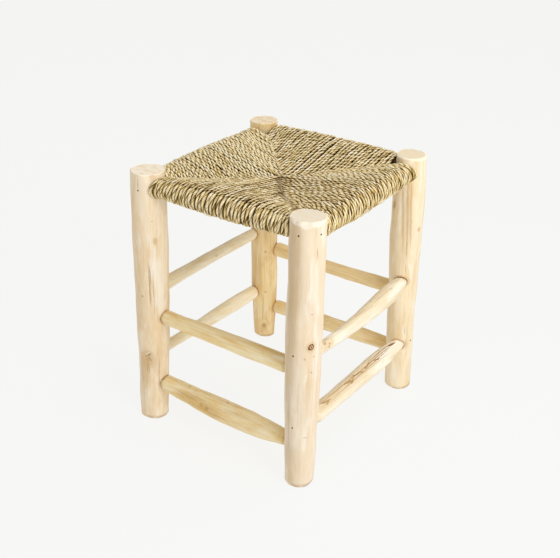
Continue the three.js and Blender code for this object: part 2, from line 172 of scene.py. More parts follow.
@dataclass
class Skin:
    """Surfaces gathered into one mesh: their points, faces and the values at their points."""

    points: list[Array] = field(default_factory=list)
    quads: list[Array] = field(default_factory=list)
    fans: list[Array] = field(default_factory=list)
    values: dict[str, list[Array]] = field(default_factory=dict)
    count: int = 0

    def tube(self, rings: Array, **values: Array) -> "Skin":
        """Adds a closed body over rings of as many points each, its two ends closed by fans.

        Each ring runs anticlockwise as seen from the far end, so that the faces point outwards.

        Args:
            rings: Points in rows, one row to a ring.
            values: Named values at those points, numbers or triples.

        Returns:
            The skin itself.
        """
        rows, columns = rings.shape[:2]
        ring = np.arange(columns)
        after = (ring + 1) % columns
        here = self.count + np.arange(rows - 1)[:, None] * columns
        there = here + columns
        self.quads.append(np.stack(
            [here + ring, here + after, there + after, there + ring], -1).reshape(-1, 4))
        first, last = self.count + rows * columns, self.count + rows * columns + 1
        end = self.count + (rows - 1) * columns
        low = np.stack([np.full(columns, first), self.count + after, self.count + ring], -1)
        high = np.stack([np.full(columns, last), end + ring, end + after], -1)
        self.fans += [low, high]
        self.points += [rings.reshape(-1, 3), rings[0].mean(0)[None], rings[-1].mean(0)[None]]
        for name, value in values.items():
            flat = value.reshape(rows * columns, -1)
            self.values.setdefault(name, []).append(
                np.concatenate([flat, flat[:columns].mean(0)[None], flat[-columns:].mean(0)[None]]))
        self.count += rows * columns + 2
        return self

    def leaf(self, rings: Array, place: Array, tone: float, green: float) -> None:
        """Adds a strip of leaf of one tone, green by a share of it."""
        tones = np.full(rings.shape[:2], tone)
        self.tube(rings, leaf_place=place, leaf_tone=tones, leaf_depth=tones * 0,
                  leaf_green=tones * green)

    def make(self, name: str) -> Piece:
        """Puts what was gathered into one smooth mesh object.

        Args:
            name: The name of the piece.

        Returns:
            The new object, in the scene.
        """
        mesh = bpy.data.meshes.new(name)
        quads, fans = np.concatenate(self.quads), np.concatenate(self.fans)
        corners = np.concatenate([quads.ravel(), fans.ravel()]).astype(np.int32)
        starts = np.concatenate(
            [np.arange(len(quads)) * 4, len(quads) * 4 + np.arange(len(fans)) * 3]).astype(np.int32)
        mesh.vertices.add(self.count)
        mesh.vertices.foreach_set("co", np.concatenate(self.points).astype(np.float32).ravel())
        mesh.loops.add(len(corners))
        mesh.polygons.add(len(starts))
        mesh.polygons.foreach_set("loop_start", starts)
        mesh.polygons.foreach_set("vertices", corners)
        mesh.update(calc_edges=True)
        mesh.shade_smooth()
        for key, parts in self.values.items():
            gathered = np.concatenate(parts).astype(np.float32)
            kind = "FLOAT_VECTOR" if gathered.shape[1] == 3 else "FLOAT"
            layer = mesh.attributes.new(key, kind, "POINT")
            layer.data.foreach_set("vector" if gathered.shape[1] == 3 else "value",
                                   gathered.ravel())
        mesh.validate()
        piece = bpy.data.objects.new(name, mesh)
        bpy.context.scene.collection.objects.link(piece)
        return piece


# The frame of poles


@dataclass(frozen=True)
class Knot:
    """A knot or a stain: where it sits on its pole, its radius, its height over its width, how
    far it stands proud, how dark it is, and how much of a knot's rings it shows."""

    turn: float
    place: float
    radius: float
    tall: float = 1.0
    proud: float = 0.3 * MM
    dark: float = 0.8
    rings: float = 1.0


@dataclass(frozen=True)
class Split:
    """A crack, groove or flute: its middle, length, width and depth, how far it turns round the
    pole from its lower to its upper end, and how dark it is."""

    turn: float
    place: float
    length: float
    width: float
    depth: float = 0.0
    drift: float = 0.0
    dark: float = 0.7


def knots_at(*rows: tuple[float, ...]) -> tuple[Knot, ...]:
    """Knots from rows in a knot's own order, with their lengths in millimetres."""
    return tuple(Knot(turn, place * MM, radius * MM, tall, proud * MM, *rest)
                 for turn, place, radius, tall, proud, *rest in rows)


def splits_at(*rows: tuple[float, ...]) -> tuple[Split, ...]:
    """Splits from rows in a split's own order, with their lengths in millimetres."""
    return tuple(Split(turn, *(size * MM for size in sizes), drift, dark)
                 for turn, *sizes, drift, dark in rows)


@dataclass(frozen=True)
class Leg:
    """One leg: its corner, girth, bow and taper from foot to top, the knife cuts round its top
    with their slope and roundness, its wood, and its marks. Turns are in degrees from +X."""

    name: str
    corner: tuple[int, int]
    girth: float
    bow: float
    bow_turn: float
    taper: tuple[float, ...]
    top_cuts: tuple[tuple[float, float], ...]
    top_slope: float
    top_round: float
    seed: int
    wood: str
    knots: tuple[Knot, ...] = ()
    splits: tuple[Split, ...] = ()


@dataclass(frozen=True)
class Bar:
    """One stretcher: its side, the heights of its ends, dip, outset, girth, tenons, flat and
    taper, how deep the knife cut its two ends, how long their shoulders are as shares of the
    common run, its wood, and its marks. Turns are in degrees from the outer side, upwards."""

    name: str
    side: int
    heights: tuple[float, float]
    dip: float
    outset: float
    girth: float
    tenons: tuple[float, float]
    flat: float
    taper: tuple[float, ...]
    whittled: tuple[float, float]
    necks: tuple[float, float]
    seed: int
    wood: str
    knots: tuple[Knot, ...] = ()
    splits: tuple[Split, ...] = ()


@dataclass
class Line:
    """A pole's line: where it starts, the two directions that its turns are measured between,
    and the one along it. Its own axes are these three, put in a right-handed order."""

    start: Array
    across: Array
    upward: Array
    run: Array

    def __post_init__(self) -> None:
        """Orders the axes."""
        right_handed = np.dot(np.cross(self.across, self.upward), self.run) > 0
        pair = (self.across, self.upward) if right_handed else (self.upward, self.across)
        self.flipped = not right_handed
        self.axes = np.stack([*pair, self.run])

    def turned(self) -> Matrix:
        """The own axes as columns of a matrix."""
        return Matrix(self.axes.T.tolist())

    def inside(self, point: Array) -> Array:
        """A point of the scene in the pole's own axes."""
        return self.axes @ (point - self.start)

    def turn_in(self, direction: Array) -> Array:
        """A direction of the scene in the pole's own axes."""
        return self.axes @ direction


LEGS = (
    Leg("leg_front_left", (-1, -1), 28 * MM, 1.8 * MM, 0.6,
        (0.835, 0.873, 0.905, 0.94, 0.965, 0.985, 1, 0.975, 0.925),
        ((-60, 1.3), (-15, 0.9), (30, 1.2), (80, 0.9), (125, 1.3), (170, 0.8), (-140, 1.1),
         (-100, 1.0)), 1.0, 1.3, 11, "tan",
        knots=knots_at((-73.7, 123, 6.5, 1.6, -0.6, 1, 0), (-31, 118, 3.5, 5, 0, 0.5, 0),
            (-88, 96, 5, 4, 0, 0.6, 0), (-32.5, 340.3, 2, 2.2, 0.1, 0.6, 0.3),
            (-86.5, 241.4, 1.2, 1.2, -0.3, 0.7, 0.8)),
        splits=splits_at((-57.5, 266, 84, 2.4, 1.4, -4.5, 0.5), (-54, 280, 40, 1, 0.4, -2.5, 0.8),
            (-44, 250, 90, 1.6, 0.5, -2, 0.4), (-84.2, 434.8, 20, 0.5, 0.4, -1.8, 0.85),
            (-41.2, 374.8, 2, 4, 0, 0, 0.35), (-77, 129, 13, 4.2, 1.2, 26, 0.75),
            (-70, 124, 15, 3.8, 1, -30, 0.8), (-69, 131, 11, 3.4, 1, 18, 0.65),
            (-79, 121, 12, 3.2, 0.9, -24, 0.65), (-77, 107, 24, 1.5, 0.5, 2, 0.7),
            (-70.5, 105, 26, 1.4, 0.5, 0, 0.7), (-30, 92, 80, 1.6, 0.4, 3, 0.5))),
    Leg("leg_front_right", (1, -1), 28 * MM, 0.5 * MM, 3.7,
        (0.83, 0.88, 0.92, 0.965, 1, 0.985, 0.967, 0.975, 0.925),
        ((-116, 2.6), (-78, 3.9), (-44, 4.4), (-8, 2.6), (30, 1.3), (74, 2.0), (116, 3.0),
         (152, 2.4), (-164, 1.3)), 1.4, 1.25, 23, "cream",
        knots=knots_at((-33.6, 257.3, 4.6, 1, 0.5, 1), (-52.8, 238.2, 1, 1, 0, 0.7, 0.6),
            (-30, 214, 1, 1.2, 0, 0.7, 0.6), (-98, 386, 7, 9, 0, 1, 0),
            (-104, 250, 5, 14, 0, 0.7, 0), (-104, 60, 5, 3, 0, 0.6, 0), (-92, 18, 3, 3, 0, 0.6, 0)),
        splits=splits_at((-24, 404, 21, 0.6, 0.5, -4.5, 0.85), (-35.4, 311, 2, 4, 0, 0, 0.5),
            (-22, 240, 2.4, 3, 0, 0, 0.5), (-41, 97, 2.2, 9, 0, 0, 0.35),
            (-104, 130, 150, 4.5, 0.2, 4, 0.15), (-68, 170, 130, 2.2, 0.2, 2, 0.12),
            (-86, 360, 110, 1.3, 0.1, 2, 0.12), (-20, 200, 150, 1.2, 0.3, 2, 0.25))),
    Leg("leg_back_right", (1, 1), 27.2 * MM, 1.8 * MM, 3.7,
        (0.872, 0.885, 0.89, 0.905, 0.95, 0.99, 1, 0.975, 0.905),
        ((-120, 2.4), (-80, 2.0), (-40, 3.4), (0, 3.2), (42, 3.4), (88, 2.8), (138, 2.8),
         (182, 2.4)), 1.1, 1.6, 37, "yellow",
        knots=knots_at((-13.3, 324, 2.6, 1, -0.2, 0.8, 0.3),
            (-122.6, 363.8, 2.4, 2.4, -0.2, 0.8, 0.5), (-66, 330, 5, 8, 0, 0.5, 0)),
        splits=splits_at((-80, 352, 150, 5, 1.2, -19, 0.28),
            (-64, 356, 140, 4.6, 1.2, -14.5, 0.33), (-51, 350, 130, 4, 0.9, -12, 0.28),
            (-58, 290, 34, 0.7, 0.4, -3, 0.9), (-56, 252, 22, 0.6, 0.3, 0, 0.6),
            (-44, 128, 18, 0.6, 0.3, 0, 0.8), (-35, 103, 16, 0.7, 0.3, 0, 0.6))),
    Leg("leg_back_left", (-1, 1), 24.8 * MM, 0.3 * MM, 0.6,
        (0.775, 0.92, 0.975, 0.985, 0.99, 1, 0.99, 0.98, 0.96),
        ((-60, 1.3), (-20, 0.9), (20, 1.2), (65, 0.9), (110, 1.1), (150, 1.3), (-160, 1.0),
         (-110, 1.1)), 1.0, 1.2, 41, "amber",
        knots=knots_at((-57.2, 28.3, 2.6, 1.3, 0.2, 0.9, 0.4), (-57, 20, 4, 2.4, 0, 0.5, 0),
            (-50, 196, 1.6, 1, 0, 0.6, 0.4)),
        splits=splits_at((-49, 107.5, 1.8, 7, 0, 0, 0.8), (-88, 140, 60, 0.7, 0.3, -3, 0.75),
            (-62, 70, 70, 1.3, 0.4, 6, 0.45))),
)

BARS = (
    Bar("stretcher_front_upper", 0, (199.02 * MM, 201.96 * MM), 0.0, 0.0, 13.8 * MM,
        (9.6 * MM, 10 * MM), 1.0, (0.9, 0.935, 0.95, 0.965, 1), (0.6, 0.0), (0.9, 0.3),
        101, "straw",
        splits=splits_at((50, 120, 120, 1.2, 0.1, 3, 0.2), (20, 190, 90, 0.9, 0.1, -3, 0.12))),
    Bar("stretcher_front_lower", 0, (72.94 * MM, 68.04 * MM), 6 * MM, 0.0, 18.76 * MM,
        (10 * MM, 9.4 * MM), 0.93, (0.75, 0.9, 1, 0.955, 0.66), (1.0, 0.1), (1.0, 0.4),
        103, "straw",
        knots=knots_at((22, 116, 2.2, 1, -0.7, 0.7, 0.4), (16, 128, 1.8, 1.3, -0.6, 0.9, 0.6),
            (20, 96, 6, 3.2, 0, 0.9, 0), (10, 136, 5, 2.4, 0, 0.9, 0),
            (92, 78, 1.2, 1.6, 0.2, 0.5, 0.6), (95, 158, 1.2, 1.6, 0.2, 0.6, 0.6)),
        splits=splits_at((30, 84, 50, 1.6, 0.5, 6, 0.55), (48, 104, 60, 1, 0.2, -5, 0.25),
            (2, 150, 60, 1.6, 0.5, 6, 0.45), (70, 190, 120, 1, 0.1, 4, 0.12))),
    Bar("stretcher_right_upper", 1, (227.96 * MM, 226.98 * MM), 9.94 * MM, 8 * MM, 17.92 * MM,
        (8.6 * MM, 9.2 * MM), 0.96, (0.525, 0.55, 0.575, 0.63, 0.687, 0.77, 0.855, 0.86, 0.66),
        (0.3, 1.6), (0.6, 0.45), 107, "white",
        knots=knots_at((60, 40, 1.6, 1.6, 0.3, 1, 0.9), (36, 49, 1.3, 1, 0.3, 0.9, 0.9),
            (15, 45, 1.4, 1, 0.3, 0.9, 0.9), (50, 44, 5, 2, 0, 0.8, 0),
            (66, 246, 1.2, 1.8, 0.2, 0.4, 0.4)),
        splits=splits_at((78, 205, 130, 1, 0.3, 8, 0.35), (30, 150, 120, 0.9, 0.3, 5, 0.25))),
    Bar("stretcher_right_lower", 1, (109 * MM, 97.1 * MM), 0.0, 8 * MM, 16.38 * MM,
        (10 * MM, 9.4 * MM), 0.8, (0.86, 0.866, 0.89, 0.99, 0.7), (0.4, 1.8), (0.6, 0.4),
        109, "white",
        knots=knots_at((78, 60, 5, 4, 0, 0.9, 0), (78, 140, 5, 8, 0, 0.9, 0)),
        splits=splits_at((84, 150, 260, 2.6, 0.9, 10, 0.8), (66, 170, 200, 2, 0.7, -10, 0.75),
            (52, 205, 110, 1.2, 0.5, 9, 0.5), (96, 240, 100, 2.2, 0.6, -6, 0.8),
            (78, 54, 30, 3.4, 0.8, 16, 1), (64, 58, 18, 2.2, 0.7, -20, 1),
            (80, 124, 26, 3.6, 0.9, 14, 1), (68, 134, 18, 3, 0.7, -22, 1),
            (86, 150, 20, 3.4, 0.8, 18, 1), (74, 164, 16, 2.6, 0.6, 24, 1),
            (82, 186, 24, 3.2, 0.7, -16, 1), (70, 214, 20, 2.4, 0.6, 16, 0.9),
            (88, 276, 26, 4.4, 1, 6, 1), (30, 120, 140, 1, 0.3, 6, 0.25))),
    Bar("stretcher_back_upper", 2, (194.96 * MM, 197.06 * MM), 4.06 * MM, 6 * MM, 12.88 * MM,
        (9.4 * MM, 9.4 * MM), 1.0, (0.96, 0.93, 0.915, 0.985, 1), (0.5, 0.5), (0.8, 0.7),
        113, "honey",
        splits=splits_at((172, 150, 160, 1.1, 0.1, 4, 0.2), (150, 90, 100, 0.9, 0.1, 4, 0.15),
            (128, 130, 160, 0.9, 0.1, 4, 0.25))),
    Bar("stretcher_back_lower", 2, (72.94 * MM, 67.06 * MM), 0.0, 6 * MM, 14.56 * MM,
        (9.4 * MM, 9.4 * MM), 0.95, (0.81, 0.96, 1, 0.973, 0.836), (0.6, 0.6), (0.9, 0.8),
        127, "honey",
        splits=splits_at((165, 140, 160, 1.1, 0.1, 3, 0.2), (140, 120, 120, 0.8, 0.1, 4, 0.2))),
    Bar("stretcher_left_upper", 3, (230.06 * MM, 233 * MM), -1.54 * MM, 8 * MM, 11.62 * MM,
        (8.4 * MM, 8.8 * MM), 0.96, (0.853, 0.914, 0.931, 0.948, 1), (0.4, 0.3), (0.6, 0.6),
        131, "pale",
        knots=knots_at((160, 150, 1.5, 2, 0.1, 0.5, 0.5)),
        splits=splits_at((150, 180, 180, 0.9, 0.1, 4, 0.15), (120, 230, 90, 0.8, 0.1, 4, 0.2))),
    Bar("stretcher_left_lower", 3, (103.96 * MM, 111.94 * MM), 0.98 * MM, 8 * MM, 13.4 * MM,
        (9 * MM, 7.6 * MM), 1.0, (0.925, 1, 0.91, 0.739, 0.657), (0.8, 0.5), (0.9, 0.8),
        137, "pale",
        splits=splits_at((155, 120, 150, 1, 0.1, 4, 0.15))),
)

OUTWARD = ((0, -1), (1, 0), (0, 1), (-1, 0))
ALONG = ((1, 0), (0, 1), (-1, 0), (0, -1))


@dataclass
class Layout:
    """Where the poles stand: the spacing of the legs' axes at the top and foot, and the rails."""

    height: float = 450 * MM
    top_spacing: tuple[float, float] = (294.4 * MM, 305.6 * MM)
    foot_spacing: tuple[float, float] = (303.8 * MM, 329.6 * MM)
    rail_heights: tuple[float, float] = (427 * MM, 423.5 * MM)
    oval: float = 0.018
    lobe: float = 0.012
    past_axis: float = 9 * MM
    shoulder_run: float = 9 * MM

    def __post_init__(self) -> None:
        """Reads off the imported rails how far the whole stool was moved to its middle."""
        pairs = (("rail_left", "rail_right"), ("rail_front", "rail_back"))
        self.shift = np.array([
            sum(corner[axis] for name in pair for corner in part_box(name)) / 4
            for axis, pair in enumerate(pairs)])

    def centre(self, leg: Leg, height: Array | float) -> Array:
        """A leg's centre line: straight from foot to top, plus half a sine of its bow.

        Args:
            leg: The leg.
            height: The height, or many.

        Returns:
            Points, with their coordinates along the last axis.
        """
        share = np.asarray(height, float) / self.height
        bow = leg.bow * np.sin(math.pi * share)
        place = [
            leg.corner[axis] * blend(self.foot_spacing[axis], self.top_spacing[axis], share) / 2
            + bow * (math.cos(leg.bow_turn), math.sin(leg.bow_turn))[axis] + self.shift[axis]
            for axis in (0, 1)]
        return np.stack([*place, share * self.height], -1)

    def radius(self, leg: Leg, height: Array | float) -> Array:
        """A leg's mean radius at a height: its girth times its taper there."""
        return leg.girth * read_taper(leg.taper, np.asarray(height, float) / self.height)

    def ends(self, side: int) -> tuple[Leg, Leg]:
        """The legs at the start and the end of a side."""
        return LEGS[side], LEGS[(side + 1) % 4]

    def bar_line(self, side: int, heights: tuple[float, float], outset: float
                 ) -> tuple[Line, float]:
        """The line of a bar between two legs' axes, moved outwards by its outset.

        Args:
            side: The side that it is on.
            heights: The heights of its two ends.
            outset: How far it stands outside the legs' axes.

        Returns:
            The line and its length.
        """
        outward = np.array([*OUTWARD[side], 0.0])
        start, end = (self.centre(leg, height) + outward * outset
                      for leg, height in zip(self.ends(side), heights))
        run = unit(end - start)
        upward = unit(np.cross(run, outward))
        upward = upward * np.sign(upward[2])
        return Line(start, outward, upward, run), float(np.linalg.norm(end - start))

    def leg_line(self, leg: Leg) -> Line:
        """A leg's own axes: along from foot to top, across nearest to +X."""
        foot, top = self.centre(leg, 0.0), self.centre(leg, self.height)
        run = unit(top - foot)
        upward = unit(np.cross(run, np.array([1.0, 0.0, 0.0])))
        return Line(foot, np.cross(upward, run), upward, run)


# Drawing shaders


def paint(red: int, green: int, blue: int) -> Colour:
    """A colour as it looks on a screen, 0 to 255, made linear: the 2.4 power of the sRGB curve.

    Args:
        red: Red.
        green: Green.
        blue: Blue.

    Returns:
        The linear colour, opaque.
    """
    parts = [value / 255 for value in (red, green, blue)]
    made = [p / 12.92 if p <= 0.04045 else ((p + 0.055) / 1.055) ** 2.4 for p in parts]
    return made[0], made[1], made[2], 1.0


FLECK = paint(160, 112, 62)
CRACK = paint(136, 80, 22)
KNOT_BODY = paint(200, 142, 80)
KNOT_RIM = paint(84, 44, 20)
JOINT_STAIN = paint(190, 142, 86)
JOINT_LINE = paint(112, 66, 28)
SOIL = paint(150, 106, 62)


class Sheet:
    """One shader tree being drawn, with short calls for its nodes and links."""

    def __init__(self, tree: Tree) -> None:
        """Takes the tree to draw in."""
        self.tree = tree

    def feed(self, socket: Socket, value: Any) -> None:
        """Links a socket to another, or sets it to a plain value."""
        if isinstance(value, Socket):
            self.tree.links.new(value, socket)
        else:
            socket.default_value = value

    def wire(self, sockets: Any, values: dict[Any, Any]) -> None:
        """Feeds several sockets by their names or numbers."""
        for key, value in values.items():
            self.feed(sockets[key], value)

    def close(self, leave: Node, **results: Any) -> Tree:
        """Feeds the outputs of a finished group and gives its tree."""
        self.wire(leave.inputs, results)
        return self.tree

    def node(self, kind: str, sockets: dict[Any, Any] | None = None, **settings: Any) -> Node:
        """Adds one node.

        Args:
            kind: The node's type, without its first words ShaderNode.
            sockets: Values or sockets for its inputs, by name or number.
            settings: Its own settings.

        Returns:
            The node.
        """
        made = self.tree.nodes.new(f"ShaderNode{kind}")
        for key, value in settings.items():
            setattr(made, key, value)
        self.wire(made.inputs, sockets or {})
        return made

    def calc(self, operation: str, first: Any, second: Any = 0.0, third: Any = 0.0,
             clamp: bool = False) -> Socket:
        """A number worked out from up to three others by a named operation."""
        made = self.node("Math", {0: first, 1: second, 2: third}, operation=operation,
                         use_clamp=clamp)
        return made.outputs[0]

    def across(self, operation: str, first: Any, second: Any = (0.0, 0.0, 0.0),
               scale: Any = 1.0) -> Socket:
        """A vector, length or dot product worked out from two vectors by a named operation."""
        made = self.node("VectorMath", {0: first, 1: second}, operation=operation)
        if operation == "SCALE":
            self.feed(made.inputs["Scale"], scale)
        return made.outputs["Value" if operation in ("LENGTH", "DOT_PRODUCT") else "Vector"]

    def band(self, value: Any, low: Any, high: Any, start: float = 0.0, end: float = 1.0
             ) -> Socket:
        """A value taken smoothly from start to end as it goes from low to high."""
        made = self.node("MapRange", {"Value": value, "From Min": low, "From Max": high,
                                      "To Min": start, "To Max": end},
                         interpolation_type="SMOOTHSTEP")
        return made.outputs["Result"]

    def mix(self, share: Any, first: Any, second: Any, how: str = "MIX") -> Socket:
        """Two colours mixed by a share."""
        made = self.node("Mix", {0: share, 6: first, 7: second}, data_type="RGBA", blend_type=how)
        return made.outputs[2]

    def tint(self, colour: Any, mask: Any, share: Any, other: Any) -> Socket:
        """A colour taken towards another where a mask is, by a share."""
        return self.mix(self.calc("MULTIPLY", mask, share), colour, other)

    def noise(self, vector: Any, scale: float, detail: float = 3.0, rough: float = 0.55,
              warp: float = 0.0) -> Socket:
        """A cloud of noise, 0 to 1, over a vector."""
        made = self.node("TexNoise", {"Vector": vector, "Scale": scale, "Detail": detail,
                                      "Roughness": rough, "Distortion": warp})
        return made.outputs[0]

    def stretch(self, vector: Any, sizes: Triple, place: Triple = (0.0, 0.0, 0.0)) -> Socket:
        """A vector moved and scaled by three factors."""
        made = self.node("Mapping", {"Vector": vector, "Location": place, "Scale": sizes})
        return made.outputs[0]

    def group(self, tree: Tree, **sockets: Any) -> Node:
        """Places a node group with values for its inputs, by name."""
        made = self.tree.nodes.new("ShaderNodeGroup")
        made.node_tree = tree
        self.wire(made.inputs, sockets)
        return made


class Kind(Enum):
    """The kinds of socket that a node group has."""

    NUMBER = "NodeSocketFloat"
    VECTOR = "NodeSocketVector"
    COLOUR = "NodeSocketColor"

    def of(self, names: str) -> dict[str, "Kind"]:
        """Sockets of this kind, by their names in a row."""
        return dict.fromkeys(names.split(), self)


def open_group(name: str, takes: dict[str, Kind], gives: dict[str, Kind]
               ) -> tuple[Sheet, dict[str, Socket], Node]:
    """Starts a shader node group with named inputs and outputs.

    Args:
        name: The group's name.
        takes: Its inputs.
        gives: Its outputs.

    Returns:
        The sheet to draw on, the sockets of its inputs, and the node of its outputs.
    """
    tree = bpy.data.node_groups.new(name, "ShaderNodeTree")
    for key, kind in takes.items():
        tree.interface.new_socket(name=key, in_out="INPUT", socket_type=kind.value)
    for key, kind in gives.items():
        tree.interface.new_socket(name=key, in_out="OUTPUT", socket_type=kind.value)
    entry, leave = tree.nodes.new("NodeGroupInput"), tree.nodes.new("NodeGroupOutput")
    return Sheet(tree), {key: entry.outputs[key] for key in takes}, leave


def open_material(name: str) -> tuple[Material, Sheet, Any]:
    """Starts a material of one surface shader.

    Args:
        name: The material's name.

    Returns:
        The material, the sheet to draw on, and the shader's inputs.
    """
    material = bpy.data.materials.new(name)
    material.use_nodes = True
    return material, Sheet(material.node_tree), material.node_tree.nodes["Principled BSDF"].inputs


class Effects:
    """The effects that several finishes share, each one node group, made once."""

    def __init__(self) -> None:
        """Draws every group."""
        self.grain = self.draw_grain()
        self.knot = self.draw_knot()
        self.split = self.draw_split()
        self.joint = self.draw_joint()
        self.end_grain = self.draw_end_grain()
        self.leaf = self.draw_leaf()

    def draw_grain(self) -> Tree:
        """Peeled wood along a pole: long streaks, broad warm patches, fine fibres and flecks."""
        sheet, takes, leave = open_group(
            "peeled grain",
            Kind.VECTOR.of("Vector") | Kind.COLOUR.of("Pale Warm Streak Bleach")
            | Kind.NUMBER.of("Streaks Patches Shift"),
            Kind.COLOUR.of("Color") | Kind.NUMBER.of("Height Worn"))
        moved = sheet.across("ADD", takes["Vector"], sheet.node(
            "CombineXYZ", {0: takes["Shift"], 1: takes["Shift"], 2: takes["Shift"]}).outputs[0])
        patch = sheet.noise(sheet.stretch(moved, (1, 1, 0.3)), 34, 4, 0.6, 0.6)
        broad = sheet.band(patch, 0.42, 0.62)
        streak = sheet.noise(sheet.stretch(moved, (1, 1, 0.045)), 300, 4, 0.6, 0.25)
        strands = sheet.band(streak, 0.5, 0.74)
        wide = sheet.noise(sheet.stretch(moved, (1, 1, 0.07)), 95, 3, 0.5, 0.3)
        bands = sheet.band(wide, 0.48, 0.7)
        fibre = sheet.noise(sheet.stretch(moved, (1, 1, 0.03)), 1500, 2, 0.5)
        fleck = sheet.noise(sheet.stretch(moved, (1, 1, 0.16)), 520, 2, 0.5)
        specks = sheet.band(fleck, 0.73, 0.79)
        bleached = sheet.band(sheet.noise(sheet.stretch(moved, (1, 1, 0.22), (0.3, 0.1, 0.7)),
                                          52, 4, 0.6, 0.8), 0.5, 0.66)
        base = sheet.tint(takes["Pale"], broad, takes["Patches"], takes["Warm"])
        base = sheet.tint(base, bleached, 0.7, takes["Bleach"])
        lined = sheet.mix(sheet.calc("MULTIPLY", sheet.calc(
            "ADD", sheet.calc("MULTIPLY", strands, 0.45), sheet.calc("MULTIPLY", bands, 0.4)),
            takes["Streaks"], clamp=True), base, takes["Streak"])
        fine = sheet.mix(0.5, lined, sheet.node("ValToRGB", {0: fibre}).outputs[0], "SOFT_LIGHT")
        height = sheet.calc("ADD", sheet.calc("MULTIPLY", streak, 0.6),
                            sheet.calc("MULTIPLY", fibre, 0.4))
        return sheet.close(leave, Color=sheet.tint(fine, specks, 0.35, FLECK), Height=height,
                           Worn=sheet.band(streak, 0.3, 0.8))

    def draw_knot(self) -> Tree:
        """A knot: a dark rim and pith and a lighter ring between, by the distance to its centre."""
        sheet, takes, leave = open_group(
            "knot",
            Kind.VECTOR.of("Vector Centre") | Kind.NUMBER.of("Radius Squeeze"),
            Kind.NUMBER.of("Rim Body Halo"))
        off = sheet.across("SUBTRACT", takes["Vector"], takes["Centre"])
        squeeze = sheet.node("CombineXYZ", {0: 1.0, 1: 1.0, 2: takes["Squeeze"]}).outputs[0]
        off = sheet.across("MULTIPLY", off, squeeze)
        uneven = sheet.noise(takes["Vector"], 420, 3, 0.6)
        away = sheet.calc("DIVIDE", sheet.across("LENGTH", off), takes["Radius"])
        away = sheet.calc("MULTIPLY_ADD", sheet.calc("SUBTRACT", uneven, 0.5), 0.75, away)
        outer = sheet.calc("MULTIPLY", sheet.band(away, 0.55, 0.85), sheet.band(away, 1.2, 0.95))
        pith = sheet.band(away, 0.38, 0.16)
        return sheet.close(leave, Rim=sheet.calc("MAXIMUM", outer, pith),
                           Body=sheet.band(away, 1.15, 0.95), Halo=sheet.band(away, 2.6, 1.0))

    def draw_split(self) -> Tree:
        """A crack or groove: dark within its width and length of its centre, on its own side."""
        sheet, takes, leave = open_group(
            "split",
            Kind.VECTOR.of("Vector Centre Across Along Outward") | Kind.NUMBER.of("Half Width"),
            Kind.NUMBER.of("Mask"))
        off = sheet.across("SUBTRACT", takes["Vector"], takes["Centre"])
        along = sheet.across("DOT_PRODUCT", off, takes["Along"])
        across = sheet.across("DOT_PRODUCT", off, takes["Across"])
        bend = sheet.noise(takes["Vector"], 120, 3, 0.6)
        across = sheet.calc("ABSOLUTE", sheet.calc(
            "ADD", across, sheet.calc("MULTIPLY", sheet.calc("SUBTRACT", bend, 0.5), 0.0026)))
        thin = sheet.calc("DIVIDE", sheet.calc("ABSOLUTE", along), takes["Half"])
        width = sheet.calc("MULTIPLY", takes["Width"], sheet.band(thin, 1.0, 0.3, 0.3, 1.0))
        across = sheet.calc("DIVIDE", across, width)
        mask = sheet.calc("MULTIPLY", sheet.band(across, 1.0, 0.3), sheet.band(thin, 1.0, 0.8))
        facing = sheet.across("DOT_PRODUCT", off, takes["Outward"])
        mask = sheet.calc("MULTIPLY", mask, sheet.band(facing, -0.012, -0.008))
        return sheet.close(leave, Mask=mask)

    def draw_joint(self) -> Tree:
        """The dark line where a tenon enters: by the distance from its axis, near its mouth."""
        sheet, takes, leave = open_group(
            "joint line",
            Kind.VECTOR.of("Vector Mouth Run") | Kind.NUMBER.of("Radius"),
            Kind.NUMBER.of("Line Stain"))
        off = sheet.across("SUBTRACT", takes["Vector"], takes["Mouth"])
        along = sheet.across("DOT_PRODUCT", off, takes["Run"])
        flat = sheet.across("SUBTRACT", off, sheet.across("SCALE", takes["Run"], scale=along))
        uneven = sheet.noise(takes["Vector"], 260, 2, 0.5)
        away = sheet.calc("SUBTRACT", sheet.across("LENGTH", flat), takes["Radius"])
        away = sheet.calc("MULTIPLY_ADD", sheet.calc("SUBTRACT", uneven, 0.5), 0.0016, away)
        near = sheet.band(sheet.calc("ABSOLUTE", along), 0.022, 0.018)
        return sheet.close(
            leave, Line=sheet.calc("MULTIPLY", sheet.band(away, 0.0013, 0.0005), near),
            Stain=sheet.calc("MULTIPLY", sheet.band(away, 0.006, 0.0006), near))

